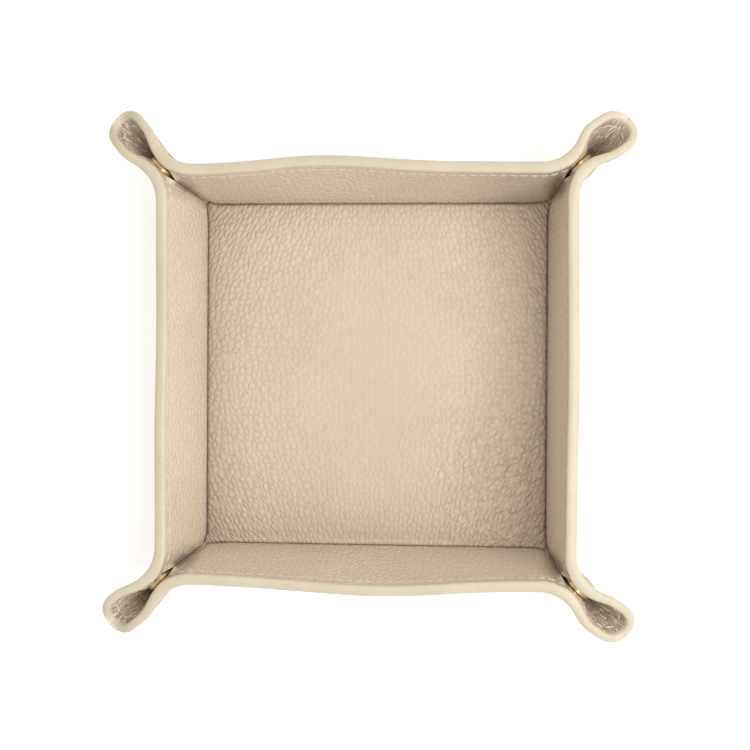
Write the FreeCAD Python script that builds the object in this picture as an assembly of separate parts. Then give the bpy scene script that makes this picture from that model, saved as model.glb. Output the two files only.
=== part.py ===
import FreeCAD, Part
import math
import os
from FreeCAD import Vector

os.makedirs("parts", exist_ok=True)

# Valet tray: a square leather sheet whose four corners are pinched into ears and held by press studs.
# Millimetres, +Z up, underside at Z = 0, centre of the base at the origin.

# Driving dimensions
base_side = 115.0
base_corner_radius = 2.5
wall_lean = 12.0
wall_height = 35.0
skin = 1.2
core = 1.2
ear_skin = 1.8
edge_height = 0.8
edge_round = 0.6
pad_height = 1.2
panel_round = 1.1
sheet_corner_radius = 14.0
half_gap = 1.1
front_back_bow = 2.4
left_right_bow = 0.8
pinch_radius_low = 4.2
pinch_radius_high = 17.8
ear_drop = 5.0
crease_climb = 39.5
crease_lift = 2.35
flare_angle = 6.5
flare_foot = 2.3
flare_from_corner = 19.2
fold_clearance = 0.15
pinch_clearance = 1.2
crease_clearance = 0.15
crease_relief = 60.0
bottom_round = 2.6

# Press stud
stud_from_corner = 14.4
stud_height = 25.5
cap_radius = 5.9
cap_dome = 1.5
cap_rim = 0.35
post_radius = 5.0
seat_clearance = 0.05
press_depth = 1.2
socket_radius = 4.9
flange_radius = 4.8
knob_radius = 1.7
socket_bore = 2.2
shank_radius = 1.2

# Sizes that follow from the driving ones
thickness = 2 * skin + core
lean = math.radians(wall_lean)
half_turn = math.radians((90.0 - wall_lean) / 2)
fold_height = skin / 2
fold_reach = base_side / 2 + (thickness - fold_height) * math.tan(half_turn)
climb = math.radians(crease_climb)
drop = math.radians(ear_drop)
flare = math.radians(flare_angle)
root = math.sqrt(2.0)
corner_reach = root * base_side / 2
crease_foot = root * fold_reach - crease_lift / math.sin(climb)
loft_low = 0.0
ear_low = 6.0
loft_high = 42.0
rim_height = fold_height + wall_height * math.cos(lean) + skin * math.sin(lean)


def corner_point(along, across, height):
    """Point at a distance along the diagonal, across it (towards the side wall) and up."""
    return Vector((along + across) / root, (along - across) / root, height)


def wall_face(height):
    """Distance from the centre to the inner face of a wall."""
    return base_side / 2 + (height - thickness) * math.tan(lean)


def pinch_radius(height):
    """Radius of the inner face where a wall turns into its ear."""
    share = height / loft_high
    return pinch_radius_low + (pinch_radius_high - pinch_radius_low) * share


def pinch_centre(height):
    """Centre of the pinch bend, along and across the diagonal."""
    radius = pinch_radius(height)
    across = half_gap + radius
    return root * (wall_face(height) + radius) - across, across


def pinch_point(height, depth, degrees):
    """Point on the pinch bend: 45 degrees at the wall, 0 at the ear."""
    along, across = pinch_centre(height)
    radius = pinch_radius(height) - depth
    angle = math.radians(degrees)
    return corner_point(along - radius * math.sin(angle), across - radius * math.cos(angle), height)


def crease_along(height, depth):
    """Where the ear's crease lies along the diagonal for a depth below the inner face."""
    middle = crease_foot + (height - fold_height) / math.tan(climb)
    return middle + (depth - thickness / 2) / math.sin(climb)


def flare_start(height):
    """Where the flat of the ear begins to open towards its tip."""
    share = min((height - ear_low) / (stud_height - ear_low), 1.0)
    return corner_reach + flare_foot + (flare_from_corner - flare_foot) * share


def ear_curve(height, depth):
    """Edges of one face of an ear half, from the pinch to the crease."""
    bend = 22.5 - pinch_clearance
    start = flare_start(height)
    stretch = math.tan(flare) + 1 / math.cos(flare)
    tip = crease_along(height, depth)
    narrow = half_gap + depth
    end = (tip - stretch * (narrow - start * math.tan(flare))) / (1 + stretch * math.tan(flare))
    wide = narrow + (end - start) * math.tan(flare)
    centre = end + wide * math.tan(flare)
    radius = wide / math.cos(flare)
    last = math.asin(crease_clearance / radius)
    middle = (math.pi / 2 + flare + last) / 2
    leg = corner_point(pinch_centre(height)[0], narrow, height)
    turn = corner_point(start, narrow, height)
    bulb = corner_point(end, wide, height)
    round_middle = corner_point(centre + radius * math.cos(middle), radius * math.sin(middle), height)
    round_end = corner_point(centre + radius * math.cos(last), radius * math.sin(last), height)
    first = pinch_point(height, depth, bend)
    return [
        Part.Arc(first, pinch_point(height, depth, bend / 2), leg).toShape(),
        Part.LineSegment(leg, turn).toShape(),
        Part.LineSegment(turn, bulb).toShape(),
        Part.Arc(bulb, round_middle, round_end).toShape(),
    ]


def closed_wire(curve, other):
    """Wire round two curves that run the same way."""
    first = curve[0].Vertexes[0].Point
    last = curve[-1].Vertexes[-1].Point
    other_first = other[0].Vertexes[0].Point
    other_last = other[-1].Vertexes[-1].Point
    ends = [Part.LineSegment(last, other_last).toShape(), Part.LineSegment(other_first, first).toShape()]
    return Part.Wire(Part.__sortEdges__(curve + other + ends))


def ear_outline(growth):
    """Block with the side view of an ear, its rim moved out by the growth."""
    bend = pinch_radius(rim_height) - thickness / 2
    hinge_along = pinch_centre(rim_height)[0] - bend * math.sin(math.radians(22.5))
    run = Vector(math.cos(drop), 0, -math.sin(drop))
    rise = Vector(math.cos(climb), 0, math.sin(climb))
    below = Vector(math.sin(climb), 0, -math.cos(climb))
    start = Vector(hinge_along, 0, rim_height)
    foot = Vector(crease_foot, 0, fold_height)
    gap = start - foot
    reach = (gap.x * rise.z - gap.z * rise.x) / (run.z * rise.x - run.x * rise.z)
    corner = start + run * reach
    radius = sheet_corner_radius
    up = Vector(math.sin(drop), 0, math.cos(drop))
    arc_start = corner - run * radius
    arc_centre = arc_start - up * radius
    radius_out = radius + growth
    turn = drop + math.pi / 4
    arc_middle = arc_centre + Vector(math.sin(drop + math.pi / 8), 0, math.cos(drop + math.pi / 8)) * radius_out
    arc_end = arc_centre + Vector(math.sin(turn), 0, math.cos(turn)) * radius_out
    inner = start - run * 16.0 + up * growth
    low = arc_end + below * 9.0
    foot_low = Vector(inner.x, 0, -6.0)
    edges = [
        Part.LineSegment(inner, arc_start + up * growth).toShape(),
        Part.Arc(arc_start + up * growth, arc_middle, arc_end).toShape(),
        Part.LineSegment(arc_end, low).toShape(),
        Part.LineSegment(low, foot_low).toShape(),
        Part.LineSegment(foot_low, inner).toShape(),
    ]
    block = Part.Face(Part.Wire(edges)).extrude(Vector(0, 30, 0))
    block.translate(Vector(0, -25, 0))
    block.rotate(Vector(0, 0, 0), Vector(0, 0, 1), 45)
    return block


def crease_wedge():
    """Relief in the outer leather under the crease, so that the halves of an ear open without meeting."""
    along = crease_along(0, ear_skin)
    below = Vector(math.sin(climb), 0, -math.cos(climb)) * 12.0
    spread = crease_clearance + 12.0 * math.tan(math.radians(crease_relief))
    points = []
    for offset, across in ((0, crease_clearance), (1, spread), (1, -4.0), (0, -4.0)):
        points.append(corner_point(along + below.x * offset, across, below.z * offset))
    run = corner_point(math.cos(climb), 0, math.sin(climb)) * 75.0
    return Part.Face(Part.makePolygon(points + points[:1])).extrude(run)


def ear_blank(depth, other):
    """Ear half between two depths below the inner face, before its rim is cut."""
    wires = []
    for height in (ear_low, stud_height, loft_high):
        wires.append(closed_wire(ear_curve(height, depth), ear_curve(height, other)))
    return Part.makeLoft(wires, True, True).cut(crease_wedge())


def stud_axis(profile, dome=None):
    """Solid of revolution about the press stud's axis, from (radius, across) points.

    A dome point bends the first run into an arc through it.
    """
    points = [Vector(radius, across, 0) for radius, across in profile]
    edges = []
    for first, second in zip(points, points[1:] + points[:1]):
        if dome and not edges:
            edges.append(Part.Arc(first, Vector(dome[0], dome[1], 0), second).toShape())
        else:
            edges.append(Part.LineSegment(first, second).toShape())
    face = Part.Face(Part.Wire(edges))
    solid = face.revolve(Vector(0, 0, 0), Vector(0, 1, 0), 360)
    along = corner_reach + stud_from_corner
    across_way = Vector(1 / root, -1 / root, 0)
    solid.Placement = FreeCAD.Placement(
        corner_point(along, 0, stud_height), FreeCAD.Rotation(Vector(0, 1, 0), across_way)
    )
    return solid


def bore(radius, start, end):
    """Hole for a shank through the leather of an ear half."""
    return stud_axis([(0, start), (radius, start), (radius, end), (0, end)])


def rounded_rim(strip, body):
    """Painted strip with its free long edges rounded; they stand at the strip's height from the body below."""
    edges = []
    for edge in strip.Edges:
        middle = edge.valueAt((edge.FirstParameter + edge.LastParameter) / 2)
        lift = body.distToShape(Part.Vertex(middle))[0]
        if edge.Length > 5.0 and lift > edge_height - 0.05:
            edges.append(edge)
    return strip.makeFillet(edge_round, edges)


def ear_half(with_cap):
    """Outer leather, lining and painted edge of one ear half."""
    outline = ear_outline(0)
    lining = ear_blank(0, ear_skin).common(outline)
    outer = ear_blank(ear_skin, thickness).common(outline)
    strip = ear_blank(0, thickness).common(ear_outline(edge_height).cut(outline))
    shank = bore(shank_radius + 0.05, 0.0, 8.0)
    socket_seat = bore(2.75, 0.0, half_gap + ear_skin) if with_cap else shank
    # The cap or post is pressed into the outer leather.
    press_radius = cap_radius if with_cap else post_radius
    face = half_gap + thickness - press_depth
    press_seat = bore(press_radius + seat_clearance, face, face + 4.0)
    return {
        "lining": lining.cut(socket_seat),
        "outer": outer.cut(shank).cut(press_seat),
        "edge": rounded_rim(strip, outline),
    }


def cap_and_socket():
    """Domed cap with its shank, and the socket it holds, on a side wall's ear."""
    face = half_gap + thickness - press_depth
    floor = half_gap + ear_skin - 0.3
    rise = cap_dome - cap_rim
    dome_radius = (cap_radius ** 2 + rise ** 2) / (2 * rise)
    dome_middle = face + cap_dome - dome_radius + math.sqrt(dome_radius ** 2 - (cap_radius / 2) ** 2)
    cap = [
        (0, face + cap_dome),
        (cap_radius, face + cap_rim),
        (cap_radius, face),
        (shank_radius, face),
        (shank_radius, floor - 0.4),
        (1.7, floor - 0.4),
        (1.5, floor - 0.75),
        (0, floor - 0.75),
    ]
    socket = [
        (shank_radius + 0.05, floor),
        (2.65, floor),
        (2.65, half_gap),
        (socket_radius - 0.3, half_gap),
        (socket_radius, half_gap - 0.35),
        (socket_radius, -0.05),
        (socket_radius - 0.35, -0.35),
        (3.0, -0.35),
        (2.5, -0.2),
        (socket_bore, 0.15),
        (socket_bore, floor - 0.4),
        (shank_radius + 0.05, floor - 0.4),
    ]
    return {"cap": stud_axis(cap, (cap_radius / 2, dome_middle)), "socket": stud_axis(socket)}


def stud_and_post():
    """Knobbed stud and the ringed post that holds it, on a front or back wall's ear."""
    flange = -half_gap + 0.55
    stud = [
        (shank_radius + 0.05, -half_gap),
        (flange_radius, -half_gap),
        (flange_radius, flange - 0.2),
        (flange_radius - 0.25, flange),
        (2.4, flange),
        (knob_radius - 0.15, flange + 0.25),
        (knob_radius - 0.15, 0.2),
        (knob_radius, 0.55),
        (knob_radius, 0.85),
        (knob_radius - 0.3, 1.2),
        (shank_radius - 0.2, 1.3),
        (0, 1.3),
        (0, 0.95),
        (shank_radius + 0.05, 0.95),
    ]
    face = press_depth - half_gap - thickness
    post = [
        (0, face - 0.25),
        (1.6, face - 0.25),
        (2.4, face - 0.75),
        (post_radius - 0.6, face - 0.75),
        (post_radius, face - 0.35),
        (post_radius, face),
        (shank_radius, face),
        (shank_radius, 0.85),
        (0, 0.85),
    ]
    return {"stud": stud_axis(stud), "post": stud_axis(post)}


def wall_curve(height, depth, bow):
    """Edges of one face of the right wall, from its front pinch to its back pinch."""
    bend = 22.5 + pinch_clearance
    back = [pinch_point(height, depth, angle) for angle in (45.0, (45.0 + bend) / 2, bend)]
    front = [Vector(point.x, -point.y, point.z) for point in back]
    swell = bow * (height - thickness) / (rim_height - thickness)
    middle = Vector(wall_face(height) + depth + swell, 0, height)
    curve = Part.BSplineCurve()
    way = Vector(0, 1, 0)
    curve.interpolate(Points=[front[0], middle, back[0]], InitialTangent=way, FinalTangent=way)
    return [
        Part.Arc(front[2], front[1], front[0]).toShape(),
        curve.toShape(),
        Part.Arc(back[0], back[1], back[2]).toShape(),
    ]


def wall_outline(low_cut, high_cut):
    """Block with the side view of the right wall between its fold and its rim."""
    along = Vector(math.sin(lean), 0, math.cos(lean))
    out = Vector(math.cos(lean), 0, -math.sin(lean))
    mitre = Vector(-math.sin(half_turn), 0, math.cos(half_turn))
    fold = Vector(fold_reach, 0, fold_height)
    step = Vector(math.cos(half_turn), 0, math.sin(half_turn)) * fold_clearance
    tangent_foot = fold + out * fold_height
    knee = fold - mitre * (fold_height / math.cos(half_turn))
    centre = knee + mitre * (bottom_round / math.cos(half_turn))
    arc_start = centre + (Vector(0, 0, 0) - mitre) * math.sqrt(bottom_round ** 2 - fold_clearance ** 2) + step
    arc_end = centre + out * bottom_round
    between = (arc_start - centre) + (arc_end - centre)
    arc_middle = centre + between.normalize() * bottom_round
    far = arc_end + out * 12.0
    top_out = fold + along * high_cut + out * 20.0
    top_in = fold + along * high_cut - out * 20.0
    if low_cut is None:
        mitre_top = fold + mitre * 8.0 + step
        edges = [
            Part.LineSegment(mitre_top, arc_start).toShape(),
            Part.Arc(arc_start, arc_middle, arc_end).toShape(),
            Part.LineSegment(arc_end, far).toShape(),
            Part.LineSegment(far, top_out).toShape(),
            Part.LineSegment(top_out, top_in).toShape(),
            Part.LineSegment(top_in, mitre_top).toShape(),
        ]
        face = Part.Face(Part.Wire(edges))
    else:
        low_out = fold + along * low_cut + out * 20.0
        low_in = fold + along * low_cut - out * 20.0
        face = Part.Face(Part.makePolygon([low_in, low_out, top_out, top_in, low_in]))
    block = face.extrude(Vector(0, 4 * base_side, 0))
    block.translate(Vector(0, -2 * base_side, 0))
    return block


def wall_blank(depth, other, bow):
    """Right wall between two depths below the inner face, before its fold and rim are cut."""
    wires = []
    for height in (loft_low, loft_high):
        wires.append(closed_wire(wall_curve(height, depth, bow), wall_curve(height, other, bow)))
    return Part.makeLoft(wires, True, True)


def wall(bow):
    """Outer leather, stiffener, lining and painted edge of the right wall."""
    outline = wall_outline(None, wall_height)
    rim = wall_outline(wall_height, wall_height + edge_height)
    strip = wall_blank(0, thickness, bow).common(rim)
    return {
        "lining": wall_blank(0, skin, bow).common(outline),
        "stiffener": wall_blank(skin, skin + core, bow).common(outline),
        "outer": wall_blank(skin + core, thickness, bow).common(outline),
        "edge": rounded_rim(strip, outline),
    }


def base_square(reach, radius, height):
    """Square wire with rounded corners."""
    flat = reach - radius
    edges = []
    for quarter in range(4):
        turn = FreeCAD.Rotation(Vector(0, 0, 1), 90 * quarter)
        slant = radius / root
        points = [(reach, -flat), (reach, flat), (flat + slant, flat + slant), (flat, reach)]
        spots = [turn.multVec(Vector(x, y, height)) for x, y in points]
        edges.append(Part.LineSegment(spots[0], spots[1]).toShape())
        edges.append(Part.Arc(spots[1], spots[2], spots[3]).toShape())
    return Part.Wire(edges)


def base_reach(height):
    """Half width of the base on its mitred side."""
    return fold_reach - (height - fold_height) * math.tan(half_turn) - fold_clearance / math.cos(half_turn)


def base_layer(heights, reaches):
    """Layer of the base through rounded squares at the given heights."""
    wires = [base_square(reach, base_corner_radius, height) for height, reach in zip(heights, reaches)]
    return Part.makeLoft(wires, True, True)


def base():
    """Outer leather, board, pad and puffed lining of the base."""
    board_low = skin
    pad_low = board_low + core
    lining_low = pad_low + pad_height
    top = lining_low + skin
    knee = fold_height
    outer_heights = [0, knee, skin]
    outer_reaches = [fold_reach - 1.7, base_reach(knee), base_reach(skin)]
    shoulder = base_reach(lining_low)
    panel = base_layer([lining_low, top], [shoulder, shoulder - 0.4])
    panel_edges = [edge for edge in panel.Edges if edge.BoundBox.ZMin > top - 0.01]
    pad_heights = [pad_low, lining_low]
    return {
        "outer": base_layer(outer_heights, outer_reaches),
        "board": base_layer([board_low, pad_low], [base_reach(board_low), base_reach(pad_low)]),
        "pad": base_layer(pad_heights, [base_reach(pad_low), base_reach(lining_low)]),
        "lining": panel.makeFillet(panel_round, panel_edges),
    }


def swapped(shape):
    """Shape mirrored in the diagonal plane."""
    return shape.mirror(Vector(0, 0, 0), Vector(1, -1, 0))


def left_right(shape):
    """Shape mirrored from the right side to the left."""
    return shape.mirror(Vector(0, 0, 0), Vector(1, 0, 0))


def front_back(shape):
    """Shape mirrored from the back to the front."""
    return shape.mirror(Vector(0, 0, 0), Vector(0, 1, 0))


def turned(shape, degrees):
    """Shape turned about the upright axis."""
    copy = shape.copy()
    copy.rotate(Vector(0, 0, 0), Vector(0, 0, 1), degrees)
    return copy


def corner_copies(shape):
    """The shape at all four corners, made at the back right one."""
    return {
        "back_right": shape,
        "back_left": left_right(shape),
        "front_right": front_back(shape),
        "front_left": front_back(left_right(shape)),
    }


def save(name, shape):
    """Write one named piece."""
    solid = shape if shape.ShapeType == "Solid" else shape.Solids[0]
    if len(shape.Solids) > 1:
        raise ValueError(name + " is more than one solid")
    solid.exportStep("parts/" + name + ".step")
    print(name, "%.1f mm3" % solid.Volume, "valid" if solid.isValid() else "NOT VALID")


for layer, shape in base().items():
    save("base_" + layer, shape)

for layer, shape in wall(left_right_bow).items():
    save("right_wall_" + layer, shape)
    save("left_wall_" + layer, turned(shape, 180))

for layer, shape in wall(front_back_bow).items():
    save("back_wall_" + layer, turned(shape, 90))
    save("front_wall_" + layer, turned(shape, -90))

for layer, shape in ear_half(True).items():
    for corner, copy in corner_copies(shape).items():
        end, side = corner.split("_")
        save(side + "_" + end + "_ear_" + layer, copy)

for layer, shape in ear_half(False).items():
    for corner, copy in corner_copies(swapped(shape)).items():
        save(corner + "_ear_" + layer, copy)

for piece, shape in {**cap_and_socket(), **stud_and_post()}.items():
    for corner, copy in corner_copies(shape).items():
        save(corner + "_snap_" + piece, copy)
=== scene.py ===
"""Leather valet tray: grained leather, painted edges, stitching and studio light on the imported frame."""

import logging
import math
from abc import ABC, abstractmethod
from dataclasses import dataclass, replace
from enum import Enum
from functools import reduce
from typing import ClassVar

import bmesh
import bpy
import numpy as np
from mathutils import Matrix, Vector


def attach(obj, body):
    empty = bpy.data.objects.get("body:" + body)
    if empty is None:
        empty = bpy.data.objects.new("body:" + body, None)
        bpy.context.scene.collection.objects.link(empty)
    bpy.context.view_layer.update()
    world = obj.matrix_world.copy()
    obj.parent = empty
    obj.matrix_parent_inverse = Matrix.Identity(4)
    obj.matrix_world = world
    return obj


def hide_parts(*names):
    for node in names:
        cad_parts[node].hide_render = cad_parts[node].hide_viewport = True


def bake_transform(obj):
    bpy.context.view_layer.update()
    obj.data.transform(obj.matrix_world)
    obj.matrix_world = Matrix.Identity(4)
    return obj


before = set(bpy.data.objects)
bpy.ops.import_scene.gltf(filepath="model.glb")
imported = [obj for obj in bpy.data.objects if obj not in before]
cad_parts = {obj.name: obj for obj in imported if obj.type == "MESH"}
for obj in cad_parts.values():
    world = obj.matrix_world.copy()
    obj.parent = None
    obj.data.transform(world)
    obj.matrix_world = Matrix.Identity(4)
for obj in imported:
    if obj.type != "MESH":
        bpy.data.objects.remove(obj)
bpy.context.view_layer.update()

LOG = logging.getLogger("tray")
MM = 0.001
ROOT_TWO = math.sqrt(2.0)
HINGE_ANGLE = math.pi / 8.0
WELD_DISTANCE = 2e-6
SHARP_ANGLE = math.radians(55.0)

Colour = tuple[float, float, float, float]
Spot = tuple[float, float, float]
Grid = np.ndarray
Numbers = np.ndarray | float
Piece = bpy.types.Object
Material = bpy.types.Material
Node = bpy.types.Node
Socket = bpy.types.NodeSocket
Look = tuple[Socket, Socket, Socket]

WHITE: Colour = (1.0, 1.0, 1.0, 1.0)


def srgb(red: int, green: int, blue: int) -> Colour:
    """Turn a display colour into the linear colour that shaders take.

    Args:
        red: Red, 0 to 255.
        green: Green, 0 to 255.
        blue: Blue, 0 to 255.

    Returns:
        Linear red, green, blue and an alpha of 1.
    """
    parts = [value / 255.0 for value in (red, green, blue)]
    linear = [part / 12.92 if part <= 0.04045 else ((part + 0.055) / 1.055) ** 2.4 for part in parts]
    return (linear[0], linear[1], linear[2], 1.0)


def smooth(values: Numbers, low: Numbers, high: Numbers) -> Grid:
    """Rise smoothly from 0 at low to 1 at high."""
    share = np.clip((values - low) / (high - low), 0.0, 1.0)
    return share * share * (3.0 - 2.0 * share)


def fall(values: Numbers, low: Numbers, high: Numbers) -> Grid:
    """Fall smoothly from 1 at low to 0 at high."""
    return 1.0 - smooth(values, low, high)


def wobble(first: Grid, second: Grid, length: float, seed: float) -> Grid:
    """Give a gentle uneven swell from a few sine waves.

    Args:
        first: First surface coordinate, in millimetres.
        second: Second surface coordinate, in millimetres.
        length: Typical distance between crests, in millimetres.
        seed: Shifts the pattern, so that pieces differ.

    Returns:
        Heights of about -1 to 1.
    """
    turn = 2.0 * math.pi / length
    wave = np.sin(turn * (first + 0.31 * second) + 1.7 * seed)
    wave = wave + 0.7 * np.sin(turn * (0.63 * second - 0.42 * first) + 2.9 * seed + 1.3)
    wave = wave + 0.5 * np.sin(turn * 1.7 * (0.8 * first + 0.55 * second) + 4.1 * seed + 0.4)
    return wave / 2.2


class Side(Enum):
    """The four walls, with the turn about the upright axis that takes the right wall there."""

    RIGHT = ("right", 0.0, ("back", "front"))
    BACK = ("back", 90.0, ("left", "right"))
    LEFT = ("left", 180.0, ("front", "back"))
    FRONT = ("front", -90.0, ("right", "left"))

    def __init__(self, label: str, turn: float, ends: tuple[str, str]) -> None:
        """Keep what differs between the walls.

        Args:
            label: Name of the wall.
            turn: Its turn in degrees.
            ends: Names of the walls at its two ends.
        """
        self.label = label
        self.turn = turn
        self.ends = ends

    def place(self) -> Grid:
        """Matrix from the right wall's frame to this wall's."""
        angle = math.radians(self.turn)
        return np.array([[math.cos(angle), -math.sin(angle)], [math.sin(angle), math.cos(angle)]])


class Face(Enum):
    """The two sides of the folded sheet."""

    INSIDE = ("inside", "lining", -1.0, 0.0)
    OUTSIDE = ("outside", "outer", 1.0, 90.0)

    def __init__(self, label: str, layer: str, way: float, rise: float) -> None:
        """Keep what differs between the two sides.

        Args:
            label: Name of the side.
            layer: Name of its leather.
            way: Its way along the outward normal.
            rise: Where its sheet coordinates begin, in millimetres.
        """
        self.label = label
        self.layer = layer
        self.way = way
        self.rise = rise


@dataclass(frozen=True)
class Bow:
    """How one wall swells outwards and waves, in millimetres."""

    middle: float
    shift: float
    rim_wave: float
    seed: float

    def swell(self, flat: Grid, place: Grid, rise: Grid) -> Grid:
        """Distance that the wall stands out from its flat face.

        Args:
            flat: Place along the flat of the wall, -1 to 1.
            place: The same place in millimetres.
            rise: Height as a share of the wall's height.

        Returns:
            Outward distance in millimetres.
        """
        fade = np.cos(np.pi * flat / 2.0) ** 2
        large = self.middle * fade + self.shift * np.sin(np.pi * flat) * fade
        small = 0.12 * fade * wobble(place, rise * 30.0, 62.0, self.seed)
        return rise * (large + small)


@dataclass(frozen=True)
class TrayShape:
    """Sizes and curves of the folded sheet, in millimetres and radians, in the frame of the part."""

    base_side: float = 115.0
    lean: float = math.radians(12.0)
    wall_height: float = 35.0
    skin: float = 1.2
    thickness: float = 3.6
    fold_height: float = 0.6
    foot_radius: float = 2.6
    half_gap: float = 1.1
    tight_gap: float = 0.15
    rim_pinch: float = 0.15
    pinch_low: float = 4.2
    pinch_high: float = 17.8
    loft_high: float = 42.0
    foot: float = 3.0
    drop: float = math.radians(5.0)
    climb: float = math.radians(39.5)
    crease_lift: float = 2.35
    rim_radius: float = 14.0
    stud_from_corner: float = 14.4
    stud_height: float = 25.5
    bulb_inside: float = 2.3
    bulb_outside: float = 1.7
    slant: float = 2.05
    straight: float = 0.92
    bend_share: float = 0.20
    sway: float = 0.0

    @property
    def corner_reach(self) -> float:
        """Distance from the centre to a corner of the base."""
        return ROOT_TWO * self.base_side / 2.0

    @property
    def rim(self) -> float:
        """Height of the rim at the middle of the sheet's thickness."""
        return self.fold_height + self.wall_height * math.cos(self.lean) + self.skin * math.sin(self.lean)

    @property
    def crease_foot(self) -> float:
        """Where the ear's crease would meet the fold's height, along the diagonal."""
        half_turn = (math.pi / 2.0 - self.lean) / 2.0
        fold = self.base_side / 2.0 + (self.thickness - self.fold_height) * math.tan(half_turn)
        return ROOT_TWO * fold - self.crease_lift / math.sin(self.climb)

    def wall_face(self, height: Grid) -> Grid:
        """Distance from the centre to the inside of a wall at a height."""
        return self.base_side / 2.0 + (height - self.thickness) * math.tan(self.lean)

    def foot_round(self, height: Grid) -> Grid:
        """How far the outer leather curves in under the fold at a height."""
        below = np.clip(self.foot_radius - height, 0.0, self.foot_radius)
        return self.foot_radius - np.sqrt(np.clip(self.foot_radius**2 - below**2, 0.0, None))

    def pinch_radius(self, height: Grid) -> Grid:
        """Radius of the bend from a wall into its ear at a height."""
        return self.pinch_low + (self.pinch_high - self.pinch_low) * height / self.loft_high

    def gap(self, height: Grid) -> Grid:
        """Half of the gap between the ear's halves, held open by the press stud and closed near the base."""
        return self.tight_gap + (self.half_gap - self.tight_gap) * smooth(height, 16.5, 20.5)

    def pinch_centre(self, height: Grid) -> tuple[Grid, Grid]:
        """Centre of that bend.

        Args:
            height: Height above the table.

        Returns:
            Distance along and across the diagonal.
        """
        radius = self.pinch_radius(height)
        across = self.gap(height) + radius
        return ROOT_TWO * (self.wall_face(height) + radius) - across, across

    def pinch_point(self, height: Grid, depth: Grid, angle: Grid) -> tuple[Grid, Grid]:
        """Point on the bend from a wall into its ear.

        Args:
            height: Height above the table.
            depth: Distance outwards from the inside face.
            angle: Radians, a quarter of pi at the wall and 0 at the ear.

        Returns:
            Distance along and across the diagonal.
        """
        along, across = self.pinch_centre(height)
        radius = self.pinch_radius(height) - depth
        return along - radius * np.sin(angle), across - radius * np.cos(angle)

    def wall_angle(self, share: Grid) -> Grid:
        """Angle on that bend at a place on the wall, down to half of it at the hinge."""
        turn = np.clip((np.abs(share) - self.straight) / (1.0 - self.straight), 0.0, 1.0)
        return (2.0 - turn) * HINGE_ANGLE

    def ear_angle(self, share: Grid) -> Grid:
        """Angle on that bend at a place on the ear half, from the hinge on."""
        return (1.0 - np.clip(share / self.bend_share, 0.0, 1.0)) * HINGE_ANGLE

    def pucker(self, angle: Grid, height: Grid, seed: Numbers) -> Grid:
        """How far the lining stands out in the ridges beside a corner's slot.

        Args:
            angle: Place on the bend in radians, a quarter of pi at the wall and 0 at the ear.
            height: Height above the table.
            seed: Shifts the ridges, so that corners differ.

        Returns:
            Inward distance in millimetres.
        """
        turn = np.degrees(angle) + 2.2 * np.sin(height * 0.62 + seed)
        near = fall(turn, 16.0, 34.0) * smooth(height, 3.6, 6.0) * fall(height, 14.0, 20.0)
        return near * (0.16 * np.cos(turn * 0.52) + 0.10 * np.cos(turn * 0.93 + seed) + 0.06)

    def wall_point(self, share: Grid, height: Grid, depth: Grid, bow: Bow) -> Grid:
        """Point of the right wall.

        Args:
            share: Place along the wall, -1 at the front pinch and 1 at the back pinch.
            height: Height above the table.
            depth: Distance outwards from the inside face.
            bow: How this wall swells and waves.

        Returns:
            Array of points, with x, y and z last.
        """
        share, height, depth = np.broadcast_arrays(share, height, depth)
        along, across = self.pinch_centre(height)
        reach = (along - across) / ROOT_TWO
        flat = np.clip(share / self.straight, -1.0, 1.0)
        rise = np.clip((height - self.thickness) / (self.rim - self.thickness), 0.0, 1.2)
        out = self.wall_face(height) + depth + bow.swell(flat, flat * reach, rise)
        bend_along, bend_across = self.pinch_point(height, depth, self.wall_angle(share))
        bent = np.abs(share) > self.straight
        x = np.where(bent, (bend_along + bend_across) / ROOT_TWO, out)
        y = np.where(bent, np.sign(share) * (bend_along - bend_across) / ROOT_TWO, flat * reach)
        return np.stack([x, y, height], axis=-1)

    def squareness(self, share: Grid) -> Grid:
        """How square to the wall its rim is cut, 1 along the wall and 0 where it turns into an ear."""
        return fall(np.abs(share), 0.84, 0.98)

    def rim_height(self, share: Grid, depth: float, bow: Bow) -> Grid:
        """Height of the wall's rim.

        Args:
            share: Place along the wall, -1 to 1.
            depth: Distance outwards from the inside face.
            bow: How this wall swells and waves.

        Returns:
            Heights above the table.
        """
        square = self.squareness(share)
        tilt = (self.thickness / 2.0 - depth) * math.sin(self.lean)
        wave = bow.rim_wave * wobble(share * 60.0, np.zeros_like(share), 47.0, bow.seed)
        height = self.rim + square * (tilt + wave)
        return height - (1.0 - square) * math.tan(self.drop) * 0.15

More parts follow.
